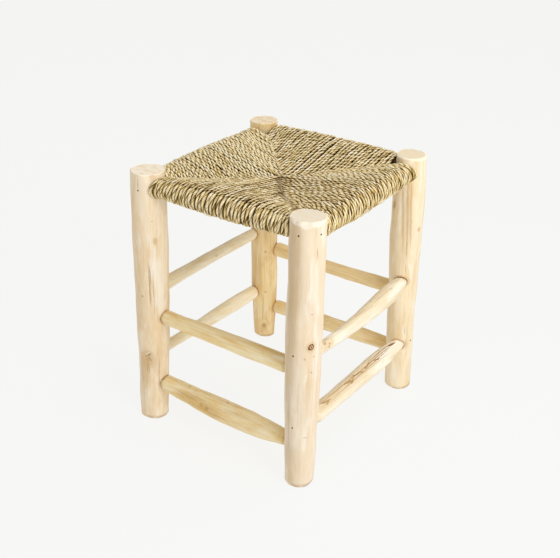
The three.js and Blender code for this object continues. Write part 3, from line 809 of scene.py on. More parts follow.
    def draw_end_grain(self) -> Tree:
        """A sawn end: faint growth rings round an off-centre pith, and soft darker patches. It
        also finds the knife cuts round an end, and the soiled wood just over the foot."""
        sheet, takes, leave = open_group(
            "end grain",
            Kind.VECTOR.of("Vector") | Kind.COLOUR.of("Pale Ring"),
            Kind.COLOUR.of("Color") | Kind.NUMBER.of("Mask Cut Soiled"))
        flat = sheet.across("MULTIPLY", takes["Vector"], (1.0, 1.0, 0.0))
        away = sheet.across("LENGTH", sheet.across("SUBTRACT", flat, (0.003, -0.002, 0.0)))
        uneven = sheet.noise(flat, 90, 3, 0.6)
        away = sheet.calc("MULTIPLY_ADD", uneven, 0.004, away)
        rings = sheet.calc("SINE", sheet.calc("MULTIPLY", away, FULL_TURN / 0.0022))
        soft = sheet.band(sheet.noise(sheet.stretch(flat, (0.5, 1, 1)), 110, 4, 0.6), 0.42, 0.6)
        share = sheet.calc("ADD", sheet.calc("MULTIPLY", sheet.band(rings, 0.0, 1.0), 0.25),
                           sheet.calc("MULTIPLY", soft, 0.6))
        normal = sheet.node("NewGeometry").outputs["Normal"]
        level = sheet.calc("ABSOLUTE", sheet.node("SeparateXYZ", {0: normal}).outputs[2])
        above = sheet.node("SeparateXYZ", {0: takes["Vector"]}).outputs[2]
        soiled = sheet.calc("MULTIPLY", sheet.band(above, 0.009, 0.001),
                            sheet.band(sheet.noise(takes["Vector"], 55, 3, 0.6), 0.42, 0.6))
        return sheet.close(leave, Color=sheet.mix(share, takes["Pale"], takes["Ring"]),
                           Mask=sheet.band(level, 0.8, 0.93), Cut=sheet.band(level, 0.2, 0.42),
                           Soiled=soiled)

    def draw_leaf(self) -> Tree:
        """Dried palm leaf: its tone from umber to pale straw, with fine stripes along it. Its
        painted shade input takes it towards a deep brown, for the hollows of the cord.
        """
        sheet, takes, leave = open_group(
            "palm leaf",
            Kind.VECTOR.of("Vector") | Kind.NUMBER.of("Tone Green Depth"),
            Kind.COLOUR.of("Color") | Kind.NUMBER.of("Height"))
        stripe = sheet.noise(sheet.stretch(takes["Vector"], (1, 1, 0.06)), 700, 3, 0.6)
        slow = sheet.noise(sheet.stretch(takes["Vector"], (1, 1, 0.35)), 130, 2, 0.5)
        tone = sheet.calc("ADD", takes["Tone"], sheet.calc(
            "MULTIPLY", sheet.calc("SUBTRACT", stripe, 0.5), 1.1))
        tone = sheet.calc("ADD", tone, sheet.calc(
            "MULTIPLY", sheet.calc("SUBTRACT", slow, 0.5), 0.5), clamp=True)
        straw = sheet.node("ValToRGB", {0: tone})
        stops = straw.color_ramp
        stops.elements[0].position, stops.elements[0].color = 0.0, paint(94, 64, 30)
        stops.elements[1].position, stops.elements[1].color = 1.0, paint(250, 236, 196)
        for place, colour in ((0.25, paint(156, 126, 72)), (0.5, paint(212, 185, 118)),
                              (0.75, paint(237, 212, 150))):
            stops.elements.new(place).color = colour
        olive = sheet.mix(1.0, straw.outputs[0], (0.95, 1.04, 1.45, 1.0), "MULTIPLY")
        colour = sheet.mix(takes["Green"], straw.outputs[0], olive)
        # Painted shade: the leaf's colour multiplied towards a deep brown, mixed in by the shade
        # input.
        dark = sheet.mix(1.0, colour, paint(112, 74, 34), "MULTIPLY")
        return sheet.close(leave, Color=sheet.mix(takes["Depth"], colour, dark), Height=stripe)


@dataclass(frozen=True)
class WoodFinish:
    """Peeled wood: its pale, warm, streak and bleached colours, the colour of its sawn ends, how
    strong the streaks and patches are, and how smooth the knife left it."""

    name: str
    pale: Colour
    warm: Colour
    streak: Colour
    bleach: Colour
    sawn: Colour = paint(246, 232, 208)
    streaks: float = 0.75
    patches: float = 0.85
    roughness: float = 0.58
    relief: float = 0.4

    def dress(self, effects: Effects, line: Line, seed: int, knots: list[dict[str, Any]],
              splits: list[dict[str, Any]], joints: list[dict[str, Any]], ends: bool
              ) -> Material:
        """Makes the material of one pole, with its own marks in its own places.

        Args:
            effects: The shared effects.
            line: The pole's own axes, which the grain follows.
            seed: Moves the grain, so that no two poles are alike.
            knots: Inputs of each knot, and how dark it is under the key dark.
            splits: Inputs of each split, and how dark it is under the key dark.
            joints: Inputs of each joint line.
            ends: Whether sawn ends show.

        Returns:
            The material.
        """
        material, sheet, inputs = open_material(self.name)
        turned = line.turned().to_euler()
        place = sheet.node("TexCoord").outputs["Object"]
        own = sheet.node("Mapping", {"Vector": place, "Location": line.start.tolist(),
                                     "Rotation": tuple(turned)}, vector_type="TEXTURE").outputs[0]
        grain = sheet.group(effects.grain, Vector=own, Pale=self.pale, Warm=self.warm,
                            Streak=self.streak, Bleach=self.bleach, Streaks=self.streaks,
                            Patches=self.patches, Shift=0.37 * (seed % 29))
        colour, height = grain.outputs["Color"], grain.outputs["Height"]
        for marks in splits:
            dark = marks.pop("dark")
            mask = sheet.group(effects.split, Vector=own, **marks).outputs["Mask"]
            colour = sheet.tint(colour, mask, dark, CRACK)
            height = sheet.calc("MULTIPLY_ADD", mask, -0.9 * dark, height)
        for marks in knots:
            dark, rings = marks.pop("dark"), marks.pop("rings")
            made = sheet.group(effects.knot, Vector=own, **marks)
            colour = sheet.tint(colour, made.outputs["Halo"], 0.55 * dark, self.streak)
            colour = sheet.tint(colour, made.outputs["Body"], 0.6 * dark * rings, KNOT_BODY)
            colour = sheet.tint(colour, made.outputs["Rim"], dark * rings, KNOT_RIM)
            height = sheet.calc("MULTIPLY_ADD", made.outputs["Rim"], -0.8 * dark * rings, height)
        for marks in joints:
            made = sheet.group(effects.joint, Vector=own, **marks)
            colour = sheet.tint(colour, made.outputs["Stain"], 0.5, JOINT_STAIN)
            colour = sheet.tint(colour, made.outputs["Line"], 0.75, JOINT_LINE)
        if ends:
            sawn = sheet.group(effects.end_grain, Vector=own, Pale=self.sawn, Ring=self.warm)
            colour = sheet.tint(colour, sawn.outputs["Cut"], 0.6, self.bleach)
            colour = sheet.tint(colour, sawn.outputs["Mask"], 0.85, sawn.outputs["Color"])
            colour = sheet.tint(colour, sawn.outputs["Soiled"], 0.6, SOIL)
        rough = sheet.calc("ADD", self.roughness - 0.08, sheet.calc(
            "MULTIPLY", grain.outputs["Worn"], 0.16))
        bump = sheet.node("Bump", {"Strength": self.relief, "Distance": 0.0006, "Height": height})
        inputs["Specular IOR Level"].default_value = 0.3
        sheet.wire(inputs, {"Base Color": colour, "Roughness": rough, "Normal": bump.outputs[0]})
        return material


def wood(name: str, *tones: tuple[int, int, int], **strengths: float) -> WoodFinish:
    """A wood from its colours on a screen, in a finish's own order."""
    return WoodFinish(name, *(paint(*tone) for tone in tones), **strengths)


WOODS = {finish.name.split()[0]: finish for finish in (
    wood("tan peeled wood", (245, 227, 197), (235, 208, 168), (204, 168, 114), (248, 239, 221),
         (251, 240, 221), streaks=0.6),
    wood("cream peeled wood", (240, 222, 196), (233, 211, 178), (204, 172, 122), (245, 236, 219),
         (230, 219, 199), streaks=0.58, patches=0.7),
    wood("yellow peeled wood", (245, 227, 194), (236, 211, 167), (206, 172, 116), (248, 239, 219),
         (232, 217, 188), streaks=0.6, patches=0.75),
    wood("amber peeled wood", (238, 213, 163), (224, 190, 130), (190, 148, 84), (242, 224, 184)),
    wood("honey peeled wood", (244, 220, 168), (230, 198, 138), (194, 152, 86), (246, 230, 190)),
    wood("straw peeled wood", (249, 229, 182), (239, 206, 140), (204, 162, 88), (250, 238, 206)),
    # The pale wood of the left stretchers is lighter partly as painted light, since that side faces
    # away from the key light.
    wood("pale peeled wood", (249, 236, 206), (242, 224, 184), (214, 188, 136), (250, 243, 224),
         streaks=0.6),
    wood("white peeled wood", (246, 234, 210), (239, 222, 188), (212, 184, 134), (249, 242, 226)),
)}
# The rails' dark browns are painted shade, for the bits of rail seen between turns of cord.
RAIL_WOOD = wood("rail wood in the shade", (120, 92, 56), (98, 72, 42), (64, 44, 24),
                 (130, 100, 64))


@dataclass(frozen=True)
class LeafFinish:
    """Twisted palm leaf, read from the values that each strand's points carry."""

    name: str
    roughness: float = 0.56
    relief: float = 0.5
    tone: float | None = None
    # A depth set here is painted shade over the whole surface.
    depth: float | None = None

    def dress(self, effects: Effects) -> Material:
        """Makes the material. Tone and depth come from the points, unless the finish sets them. The
        depth is painted shade, and the tone holds a painted highlight on the crests.

        Args:
            effects: The shared effects.

        Returns:
            The material.
        """
        material, sheet, inputs = open_material(self.name)
        along = sheet.node("Attribute", attribute_name="leaf_place").outputs["Vector"]
        tone, green, depth = (
            sheet.node("Attribute", attribute_name=f"leaf_{value}").outputs["Fac"]
            for value in ("tone", "green", "depth"))
        leaf = sheet.group(
            effects.leaf, Vector=along, Tone=tone if self.tone is None else self.tone,
            Green=green, Depth=depth if self.depth is None else self.depth)
        rough = sheet.band(leaf.outputs["Height"], 0.3, 0.7, self.roughness + 0.1,
                           self.roughness - 0.06)
        bump = sheet.node("Bump", {"Strength": self.relief, "Distance": 0.0004,
                                   "Height": leaf.outputs["Height"]})
        inputs["Specular IOR Level"].default_value = 0.2
        sheet.wire(inputs, {"Base Color": leaf.outputs["Color"], "Roughness": rough,
                            "Normal": bump.outputs[0]})
        return material


CORD_LEAF = LeafFinish("twisted palm leaf")
LOOSE_LEAF = LeafFinish("loose palm leaf", roughness=0.5, relief=0.3)
# The packing is painted dark as shade: a low tone, and painted shade of 0.8.
PACKED_LEAF = LeafFinish("packed leaf in the shade", roughness=0.75, tone=0.1, depth=0.8)


@dataclass(frozen=True)
class NailFinish:
    """Old wire steel: dark, with brown rust in patches."""

    name: str = "dark wire steel"
    steel: Colour = paint(58, 40, 28)
    rust: Colour = paint(98, 62, 32)
    roughness: float = 0.5

    def dress(self) -> Material:
        """Makes the material.

        Returns:
            The material.
        """
        material, sheet, inputs = open_material(self.name)
        place = sheet.node("TexCoord").outputs["Object"]
        cloud = sheet.noise(place, 900, 4, 0.6)
        share = sheet.band(cloud, 0.42, 0.6)
        bump = sheet.node("Bump", {"Strength": 0.4, "Distance": 0.0002, "Height": cloud})
        rough = sheet.band(share, 0.0, 1.0, self.roughness - 0.1, self.roughness + 0.25)
        sheet.wire(inputs, {"Base Color": sheet.mix(share, self.steel, self.rust),
                            "Metallic": sheet.band(share, 0.0, 1.0, 0.9, 0.15),
                            "Roughness": rough, "Normal": bump.outputs[0]})
        return material


def seat_piece(piece: Piece, slot: str, material: Material,
               *nodes: str) -> Piece:
    """Dresses a new piece, fixes it to the stool and puts it in the place of its solids.

    Args:
        piece: The piece.
        slot: The record's material slot, which is not used.
        material: Its finish.
        nodes: The solids that it stands for.

    Returns:
        The piece.
    """
    piece.data.materials.clear()
    piece.data.materials.append(material)
    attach(piece, BODY)
    if nodes:
        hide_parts(*nodes)
    log.info("%s: %d points, %d faces", piece.name, len(piece.data.vertices),
             len(piece.data.polygons))
    return piece


def mark_skin(reach: Array, pole: Leg | Bar, turn: Array, along: Array, radius: Array) -> Array:
    """A pole's radii with its marks: each knot adds a bell round its middle, and each split
    takes its groove away.

    Args:
        reach: The radii before the marks.
        pole: The leg or stretcher.
        turn: Angles round it.
        along: Distances along it.
        radius: Its mean radius, to turn angles into widths.

    Returns:
        The radii with the marks.
    """
    for knot in pole.knots:
        off = np.hypot(radius * wrap(turn - math.radians(knot.turn)),
                       (along - knot.place) / knot.tall)
        reach = reach + knot.proud * np.exp(-(off / knot.radius) ** 2)
    for split in pole.splits:
        reach = reach - groove(split, turn, along, radius)
    return reach


@dataclass
class Stretchers:
    """The eight stretchers, whittled from the body of each pole down to a round tenon."""

    layout: Layout
    columns: int = 72
    rows: int = 230
    oval: float = 0.03
    flat_turn: float = math.pi / 4
    tenon_bevel: float = 1.2 * MM
    whittled: float = 52 * MM
    unevenness: float = 0.28 * MM
    flats: int = 11
    first_row: float = 12 * MM
    end_shrink: float = 0.45

    def line(self, bar: Bar) -> tuple[Line, float]:
        """The stretcher's own line and its length between the legs' axes."""
        return self.layout.bar_line(bar.side, bar.heights, bar.outset)

    def faces(self, bar: Bar, length: float) -> tuple[float, float]:
        """How far along the bar each leg's skin is."""
        start, end = self.layout.ends(bar.side)
        return (float(self.layout.radius(start, bar.heights[0])),
                length - float(self.layout.radius(end, bar.heights[1])))

    def reach(self, bar: Bar, turn: Array, along: Array, length: float) -> Array:
        """The radius at an angle and a distance: the tenon's up to the leg's skin, and from there
        a swell to the body, as 1 less the cube of what is left of the shoulder. The body is a
        little oval, has one flat, and is cut by knife flats that are deepest at the shoulders.

        Args:
            bar: The stretcher.
            turn: Angles from its outer side, upwards.
            along: Distances from the first leg's axis.
            length: The distance between the two axes.

        Returns:
            The radii.
        """
        rng = np.random.default_rng(bar.seed)
        first, last = self.faces(bar, length)
        share = (along - first) / (last - first)
        body = bar.girth * read_taper(bar.taper, share, 0.05)
        swell = 1.0
        for gone, neck in zip((along - first, last - along), bar.necks):
            left = 1 - np.clip(gone / (self.layout.shoulder_run * neck), 0, 1)
            swell = swell * (1 - left ** 3)
        tenon = np.where(share < 0.5, bar.tenons[0], bar.tenons[1])
        round_body = body * (1 + self.oval * np.cos(2 * turn + 4 + 6 * share))
        round_body = round_body + self.unevenness * ripple(turn, along, rng, 0.11)
        flat = bar.flat * body / np.maximum(np.cos(turn - self.flat_turn), 0.2)
        round_body = np.where(np.cos(turn - self.flat_turn) > 0.2,
                              np.minimum(round_body, flat), round_body)
        for _ in range(self.flats):
            facing, middle = rng.random() * FULL_TURN, rng.uniform(first, last)
            half, depth = rng.uniform(0.03, 0.1), rng.uniform(0.1, 0.35) * MM
            cut = depth * (1 - ((along - middle) / half) ** 2)
            round_body = shave(round_body, turn, facing, cut)
        for end in (0, 1):
            gone = (along - first) if end == 0 else (last - along)
            count = int(rng.integers(7, 10))
            for k in range(count):
                facing = FULL_TURN * (k + 0.35 * rng.random()) / count
                long_cut = self.whittled * rng.uniform(0.45, 1.1)
                cut = body * rng.uniform(0.03, 0.075) * (1 - (gone / long_cut) ** 2)
                round_body = shave(round_body, turn, facing, cut * bar.whittled[end])
        return blend(tenon, mark_skin(round_body, bar, turn, along, body), swell)

    def surface(self, bar: Bar) -> tuple[Array, Line, float]:
        """The stretcher as rings from tenon end to tenon end.

        Args:
            bar: The stretcher.

        Returns:
            The rings, its line and its length.
        """
        line, length = self.line(bar)
        past = self.layout.past_axis
        along = np.concatenate([
            [-past, -past, -past + self.tenon_bevel],
            np.linspace(self.first_row, length - self.first_row, self.rows),
            [length + past - self.tenon_bevel, length + past, length + past]])
        turn = around(self.columns)
        radii = self.reach(bar, turn[None], along[:, None], length)
        shrink = np.ones(len(along))
        shrink[[0, -1]] = self.end_shrink
        radii = radii * shrink[:, None]
        radii[[1, -2]] -= self.tenon_bevel
        fall = bar.dip * np.sin(math.pi * np.clip(along / length, 0, 1))
        centre = line.start + along[:, None] * line.run - fall[:, None] * UP
        rings = sweep(centre, line.across[None], line.upward[None], radii, radii, turn)
        return (rings[:, ::-1] if line.flipped else rings), line, length

    def build(self, effects: Effects) -> None:
        """Makes, dresses and places all eight."""
        for bar in BARS:
            rings, line, length = self.surface(bar)
            piece = Skin().tube(rings).make(f"whittled_{bar.name}")
            first, last = self.faces(bar, length)
            knots = [knot_inputs(mark, line, self.spot(bar, mark)[0]) for mark in bar.knots]
            splits = [split_inputs(mark, line, *self.spot(bar, mark), bar.girth)
                      for mark in bar.splits]
            material = WOODS[bar.wood].dress(effects, line, bar.seed, knots, splits, [], False)
            seat_piece(piece, "bar_wood", material, bar.name)
            log.info("%s runs from %.3f to %.3f m of %.3f", bar.name, first, last, length)

    def spot(self, bar: Bar, mark: Knot | Split) -> tuple[Array, Array]:
        """A mark's middle on the stretcher's skin and the way that it faces.

        Args:
            bar: The stretcher.
            mark: The mark.

        Returns:
            The point and the outward direction.
        """
        line, length = self.line(bar)
        turn = math.radians(mark.turn)
        out = math.cos(turn) * line.across + math.sin(turn) * line.upward
        radius = float(self.reach(bar, np.array([turn]), np.array([mark.place]), length)[0])
        fall = bar.dip * math.sin(math.pi * mark.place / length)
        return line.start + mark.place * line.run - fall * UP + out * radius, out


def groove(split: Split, turn: Array, along: Array, radius: Array | float) -> Array:
    """How deep a split lies below the skin: a bell across it, tapering to its two ends.

    Args:
        split: The split.
        turn: Angles round the pole.
        along: Distances along it.
        radius: The pole's radius, to turn angles into widths.

    Returns:
        The depths.
    """
    off = (along - split.place) / (split.length / 2)
    facing = math.radians(split.turn) + math.radians(split.drift) * off / 2
    across = radius * wrap(turn - facing) / max(split.width, 1.3 * MM)
    return split.depth * np.exp(-across ** 2) * np.clip(1 - off ** 4, 0, 1)


def knot_inputs(knot: Knot, line: Line, point: Array) -> dict[str, Any]:
    """A knot's place and size as the inputs of the knot effect."""
    return {"Centre": line.inside(point).tolist(), "Radius": knot.radius,
            "Squeeze": 1 / knot.tall, "dark": knot.dark, "rings": knot.rings}


def split_inputs(split: Split, line: Line, point: Array, out: Array, radius: float
                 ) -> dict[str, Any]:
    """A split's place, direction and size as the inputs of the split effect.

    Args:
        split: The split.
        line: The pole's own axes.
        point: The split's middle on the skin.
        out: The way that the skin faces there.
        radius: The pole's radius.

    Returns:
        The inputs by name.
    """
    side = np.cross(line.run, out)
    lean = math.radians(split.drift) * radius / split.length
    along = unit(line.run + lean * side)
    across = unit(np.cross(along, out))
    return {"Centre": line.inside(point).tolist(), "Across": line.turn_in(across).tolist(),
            "Along": line.turn_in(along).tolist(), "Outward": line.turn_in(out).tolist(),
            "Half": split.length / 2, "Width": max(split.width * 0.6, 0.5 * MM),
            "dark": split.dark}


@dataclass
class Legs:
    """The four legs, peeled with a knife along the grain, with mortises cut for the tenons."""

    layout: Layout
    stretchers: Stretchers
    columns: int = 144
    rows: int = 250
    foot_bevel: float = 2.2 * MM
    unevenness: float = 0.4 * MM
    mortise_gap: float = 0.2 * MM
    flats: int = 22
    past_skin: float = 6 * MM
    cutter_columns: int = 64
    sharp_angle: float = 38.0

    def reach(self, leg: Leg, turn: Array, height: Array) -> Array:
        """The radius at an angle and a height: the mean radius with two and three soft lobes, a
        slow unevenness, long knife flats, and the marks' own bumps and grooves.

        Args:
            leg: The leg.
            turn: Angles from +X.
            height: Heights.

        Returns:
            The radii.
        """
        rng = np.random.default_rng(leg.seed)
        mean = self.layout.radius(leg, height)
        phase = leg.bow_turn + height / self.layout.height
        radii = mean * (1 + self.layout.oval * np.cos(2 * turn - phase)
                        + self.layout.lobe * np.cos(3 * turn + phase))
        radii = radii + self.unevenness * ripple(turn, height, rng, 0.2, 5)
        for _ in range(self.flats):
            facing, middle = rng.random() * FULL_TURN, rng.uniform(-0.02, self.layout.height + 0.02)
            half, depth = rng.uniform(0.035, 0.14), rng.uniform(0.12, 0.5) * MM
            drift = rng.uniform(-0.6, 0.6)
            cut = depth * (1 - ((height - middle) / half) ** 2)
            radii = shave(radii, turn, facing + drift * (height - middle), cut)
        return mark_skin(radii, leg, turn, height, mean)

    def rim(self, leg: Leg, turn: Array) -> Array:
        """The outline of the top face: what is left of the pole after a ring of flat knife cuts.

        Args:
            leg: The leg.
            turn: Angles from +X.

        Returns:
            The radii of the outline.
        """
        rim = self.reach(leg, turn, np.full_like(turn, self.layout.height)) - 0.4 * MM
        for facing, depth in leg.top_cuts:
            rim = shave(rim, turn, math.radians(facing), np.full_like(turn, depth * MM))
        return rim

    def surface(self, leg: Leg) -> Array:
        """The leg as rings: out over the sawn foot, up the pole, and in over the cut top. The top
        cuts start as far down as they go in, times their slope.

        Args:
            leg: The leg.

        Returns:
            The rings.
        """
        turn = around(self.columns)
        top = self.layout.height
        rim = self.rim(leg, turn)
        edge = self.reach(leg, turn, np.full_like(turn, top))
        drop = np.maximum((edge - rim) * leg.top_slope, 0.6 * MM)
        rng = np.random.default_rng(leg.seed + 2)
        worn = self.foot_bevel * (1 + 0.35 * wander(turn / FULL_TURN, rng, 1.0, 4))
        worn = worn + (worn[0] - worn[-1]) * 0.5 * np.cos(turn / 2) ** 8
        share = np.linspace(0, 1, self.rows)[:, None]
        body = blend(worn[None], (top - drop)[None], share)
        rows, radii = [body], [self.reach(leg, turn[None], body)]
        foot = self.reach(leg, turn, np.zeros_like(turn))
        for part in (0.75, 0.4, 0.0):
            rows.insert(0, (worn * part)[None])
            radii.insert(0, (foot - worn * (1 - part) ** 1.6)[None])
        sawn = radii[0][0]
        for inner in (0.9, 0.6, 0.3):
            rows.insert(0, np.full((1, self.columns), 0.15 * MM * (1 - inner)))
            radii.insert(0, (sawn * inner)[None])
        for part in (0.25, 0.5, 0.75, 0.92):
            rows.append((top - drop * (1 - part ** 0.9))[None])
            radii.append((edge - (edge - rim) * part ** leg.top_round)[None])
        for inner in (0.985, 0.93, 0.8, 0.6, 0.4, 0.2):
            saw = 0.12 * MM * ripple(turn, np.full_like(turn, inner), rng, 0.5, 3, 6)
            rows.append((np.full_like(turn, top - 0.25 * MM * inner) + saw * 0.6 - 0.1 * MM)[None])
            radii.append((rim * inner)[None])
        height, reach = np.concatenate(rows), np.concatenate(radii)
        centre = self.layout.centre(leg, np.clip(height, 0, top))
        centre[..., 2] = height
        return centre + np.stack([reach * np.cos(turn), reach * np.sin(turn),
                                  np.zeros_like(height)], -1)

    def cutter(self, bar: Bar, end: int) -> Piece:
        """A round cutter a little larger than one tenon, from its blind end out past the skin.

        Args:
            bar: The stretcher.
            end: 0 for its start, 1 for its end.

        Returns:
            The cutter.
        """
        line, length = self.stretchers.line(bar)
        face = self.stretchers.faces(bar, length)[end]
        gap = self.mortise_gap
        inner = -self.layout.past_axis - gap if end == 0 else length + self.layout.past_axis + gap
        outer = face + (self.past_skin if end == 0 else -self.past_skin)
        turn = around(self.cutter_columns)
        radius = bar.tenons[end] + gap
        circle = radius * (
            np.cos(turn)[:, None] * line.across + np.sin(turn)[:, None] * line.upward)
        along = np.linspace(*sorted((inner, outer)), 8)
        rings = (line.start + along[:, None] * line.run)[:, None] + circle
        rings = rings[:, ::-1] if line.flipped else rings
        return Skin().tube(rings).make(f"cutter_{bar.name}_{end}")

    def joints(self, leg: Leg) -> list[tuple[Bar, int]]:
        """The stretchers that enter a leg, each with its end there."""
        return [(bar, end) for bar in BARS for end in (0, 1)
                if self.layout.ends(bar.side)[end] is leg]

    def cut_mortises(self, piece: Piece, leg: Leg) -> None:
        """Cuts the leg's mortises out of its mesh, and keeps their edges sharp.

        Args:
            piece: The leg's object.
            leg: The leg.
        """
        cutters = [self.cutter(bar, end) for bar, end in self.joints(leg)]
        for tool in cutters:
            change = piece.modifiers.new(tool.name, "BOOLEAN")
            change.operation, change.object, change.solver = "DIFFERENCE", tool, "MANIFOLD"
        bpy.context.view_layer.update()
        cut = bpy.data.meshes.new_from_object(
            piece.evaluated_get(bpy.context.evaluated_depsgraph_get()))
        piece.modifiers.clear()
        piece.data = cut
        cut.shade_smooth()
        cut.set_sharp_from_angle(angle=math.radians(self.sharp_angle))
        for tool in cutters:
            mesh = tool.data
            bpy.data.objects.remove(tool)
            bpy.data.meshes.remove(mesh)

    def spot(self, leg: Leg, mark: Knot | Split) -> tuple[Array, Array]:
        """A mark's middle on the leg's skin and the way that it faces."""
        turn = math.radians(mark.turn)
        out = np.array([math.cos(turn), math.sin(turn), 0.0])
        radius = float(self.reach(leg, np.array([turn]), np.array([mark.place]))[0])
        return self.layout.centre(leg, mark.place) + out * radius, out

    def build(self, effects: Effects) -> None:
        """Makes, cuts, dresses and places all four."""
        for leg in LEGS:
            piece = Skin().tube(self.surface(leg)).make(f"peeled_{leg.name}")
            self.cut_mortises(piece, leg)
            line = self.layout.leg_line(leg)
            knots = [knot_inputs(mark, line, self.spot(leg, mark)[0]) for mark in leg.knots]
            splits = [split_inputs(mark, line, *self.spot(leg, mark), leg.girth)
                      for mark in leg.splits]
            joints = []
            for bar, end in self.joints(leg):
                bar_line, length = self.stretchers.line(bar)
                face = self.stretchers.faces(bar, length)[end]
                mouth = bar_line.start + face * bar_line.run
                joints.append({"Mouth": line.inside(mouth).tolist(),
                               "Run": line.turn_in(bar_line.run).tolist(),
                               "Radius": bar.tenons[end]})
            material = WOODS[leg.wood].dress(effects, line, leg.seed, knots, splits, joints, True)
            seat_piece(piece, "leg_wood", material, leg.name)


@dataclass
class Rails:
    """The four rails inside the winding, whose solids stay and get a dark wood as painted shade."""

    layout: Layout

    def build(self, effects: Effects) -> None:
        """Dresses the four solids."""
        for side, name in enumerate(("rail_front", "rail_right", "rail_back", "rail_left")):
            height = self.layout.rail_heights[side % 2]
            line, _ = self.layout.bar_line(side, (height, height), 0.0)
            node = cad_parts[name]
            node.data.materials.clear()
            node.data.materials.append(RAIL_WOOD.dress(effects, line, 5 + side, [], [], [], False))
            log.info("%s keeps its solid, in shaded wood", name)


@dataclass
class Nails:
    """The wire nails: a domed head on a round shank, in the line of each nail's solid and just
    proud of the leg's skin."""

    legs: Legs
    columns: int = 28
    head_radius: float = 1.5 * MM
    head_thickness: float = 0.8 * MM
    shank_radius: float = 1.2 * MM
    point: float = 3 * MM
    proud: float = 0.3 * MM
    sharp_angle: float = 50.0

    def line(self, name: str) -> tuple[Array, Array]:
        """Finds a nail's tip and the middle of its head in its solid: the head is the end whose
        points spread widest round the long way of the solid.

        Args:
            name: The node's name.

        Returns:
            The tip and the middle of the head.
        """
        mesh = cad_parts[name].data
        points = np.empty(len(mesh.vertices) * 3)
        mesh.vertices.foreach_get("co", points)
        points = np.unique(np.round(points.reshape(-1, 3), 6), axis=0)
        axis = int(np.argmax(np.ptp(points, axis=0)))
        order = points[np.argsort(points[:, axis])]
        ends = [order[:7], order[-7:]]
        spread = [np.ptp(end, axis=0).sum() - np.ptp(end[:, axis]) for end in ends]
        head = ends[int(np.argmax(spread))].mean(0)
        tip = order[-1] if np.argmax(spread) == 0 else order[0]
        run = unit(head - tip)
        layout = self.legs.layout
        leg = min(LEGS, key=lambda each: float(np.linalg.norm(
            layout.centre(each, head[2])[:2] - head[:2])))
        off = (head - layout.centre(leg, head[2]))[:2]
        skin = self.legs.reach(leg, np.array([math.atan2(off[1], off[0])]), head[2:3])[0]
        gap = float(skin + self.proud - np.linalg.norm(off)) / max(float(run[:2] @ unit(off)), 0.5)
        return tip + gap * run, head + gap * run

    def build(self) -> None:
        """Makes, dresses and places every nail."""
        material = NailFinish().dress()
        names = sorted(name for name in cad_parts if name.startswith("nail_"))
        for count, name in enumerate(names):
            rng = np.random.default_rng(count)
            tip, head = self.line(name)
            length = float(np.linalg.norm(head - tip))
            run = unit(head - tip)
            side = unit(np.cross(run, np.array([0.3, 0.5, 0.8])))
            third = np.cross(run, side)
            neck = length - self.head_thickness
            profile = np.array([
                [0.15 * MM, 0.0], [self.shank_radius, self.point],
                [self.shank_radius, neck - 1.5 * MM], [self.shank_radius, neck],
                [self.head_radius * 0.93, neck], [self.head_radius, neck + 0.2 * MM],
                [self.head_radius * 0.97, neck + 0.5 * MM],
                [self.head_radius * 0.72, length - 0.06 * MM],
                [self.head_radius * 0.35, length + 0.06 * MM],
                [self.head_radius * 0.1, length + 0.1 * MM]])
            turn = around(self.columns)
            dent = 1 + 0.05 * np.cos(2 * turn + FULL_TURN * rng.random())
            radii = profile[:, :1] * np.where(profile[:, 1:] > neck, dent, 1.0)
            rings = (tip + profile[:, 1, None] * run)[:, None] + (
                radii[..., None] * (np.cos(turn)[:, None] * side + np.sin(turn)[:, None] * third))
            piece = Skin().tube(rings).make(f"driven_{name}")
            piece.data.set_sharp_from_angle(angle=math.radians(self.sharp_angle))
            seat_piece(piece, "nail_steel", material, name)


@dataclass(frozen=True)
class Panel:
    """How one side of the seat was wound: how many of its turns end at the seam of its first
    corner, whether they lie over the other side's turns at its two seams, how late they bend
    towards the seam, the lay of the cord's twist, the tone of its leaf on the panel and over
    the roll, how green it is, how loosely it lies, how strong the painted shade in the hollows
    between its turns and the painted highlight on its crests are, and the turns of paler leaf,
    each with a gap after it."""

    name: str
    to_first: int
    over: tuple[bool, bool]
    bend: float
    lay: float
    tones: tuple[float, float]
    green: float
    looseness: float
    shade: float
    seed: int
    pale: tuple[int, ...] = ()


PANELS = (
    Panel("front", 19, (True, True), 3.6, 16.5 * MM, (0.61, 0.69), 0.4, 1.0, 1.4, 301,
          (12, 21, 29)),
    # The right panel's lower tone over the roll is painted shade against the key light on that
    # side.
    Panel("right", 21, (True, True), 1.2, 19.5 * MM, (0.82, 0.65), 0.1, 1.1, 1.35, 302,
          (23, 34)),
    Panel("back", 21, (False, False), 1.1, 20.5 * MM, (0.67, 0.64), 0.45, 1.3, 1.0, 303,
          (19,)),
    Panel("left", 18, (True, False), 1.1, 22.0 * MM, (1.07, 0.92), 0.0, 1.3, 0.6, 304),
)


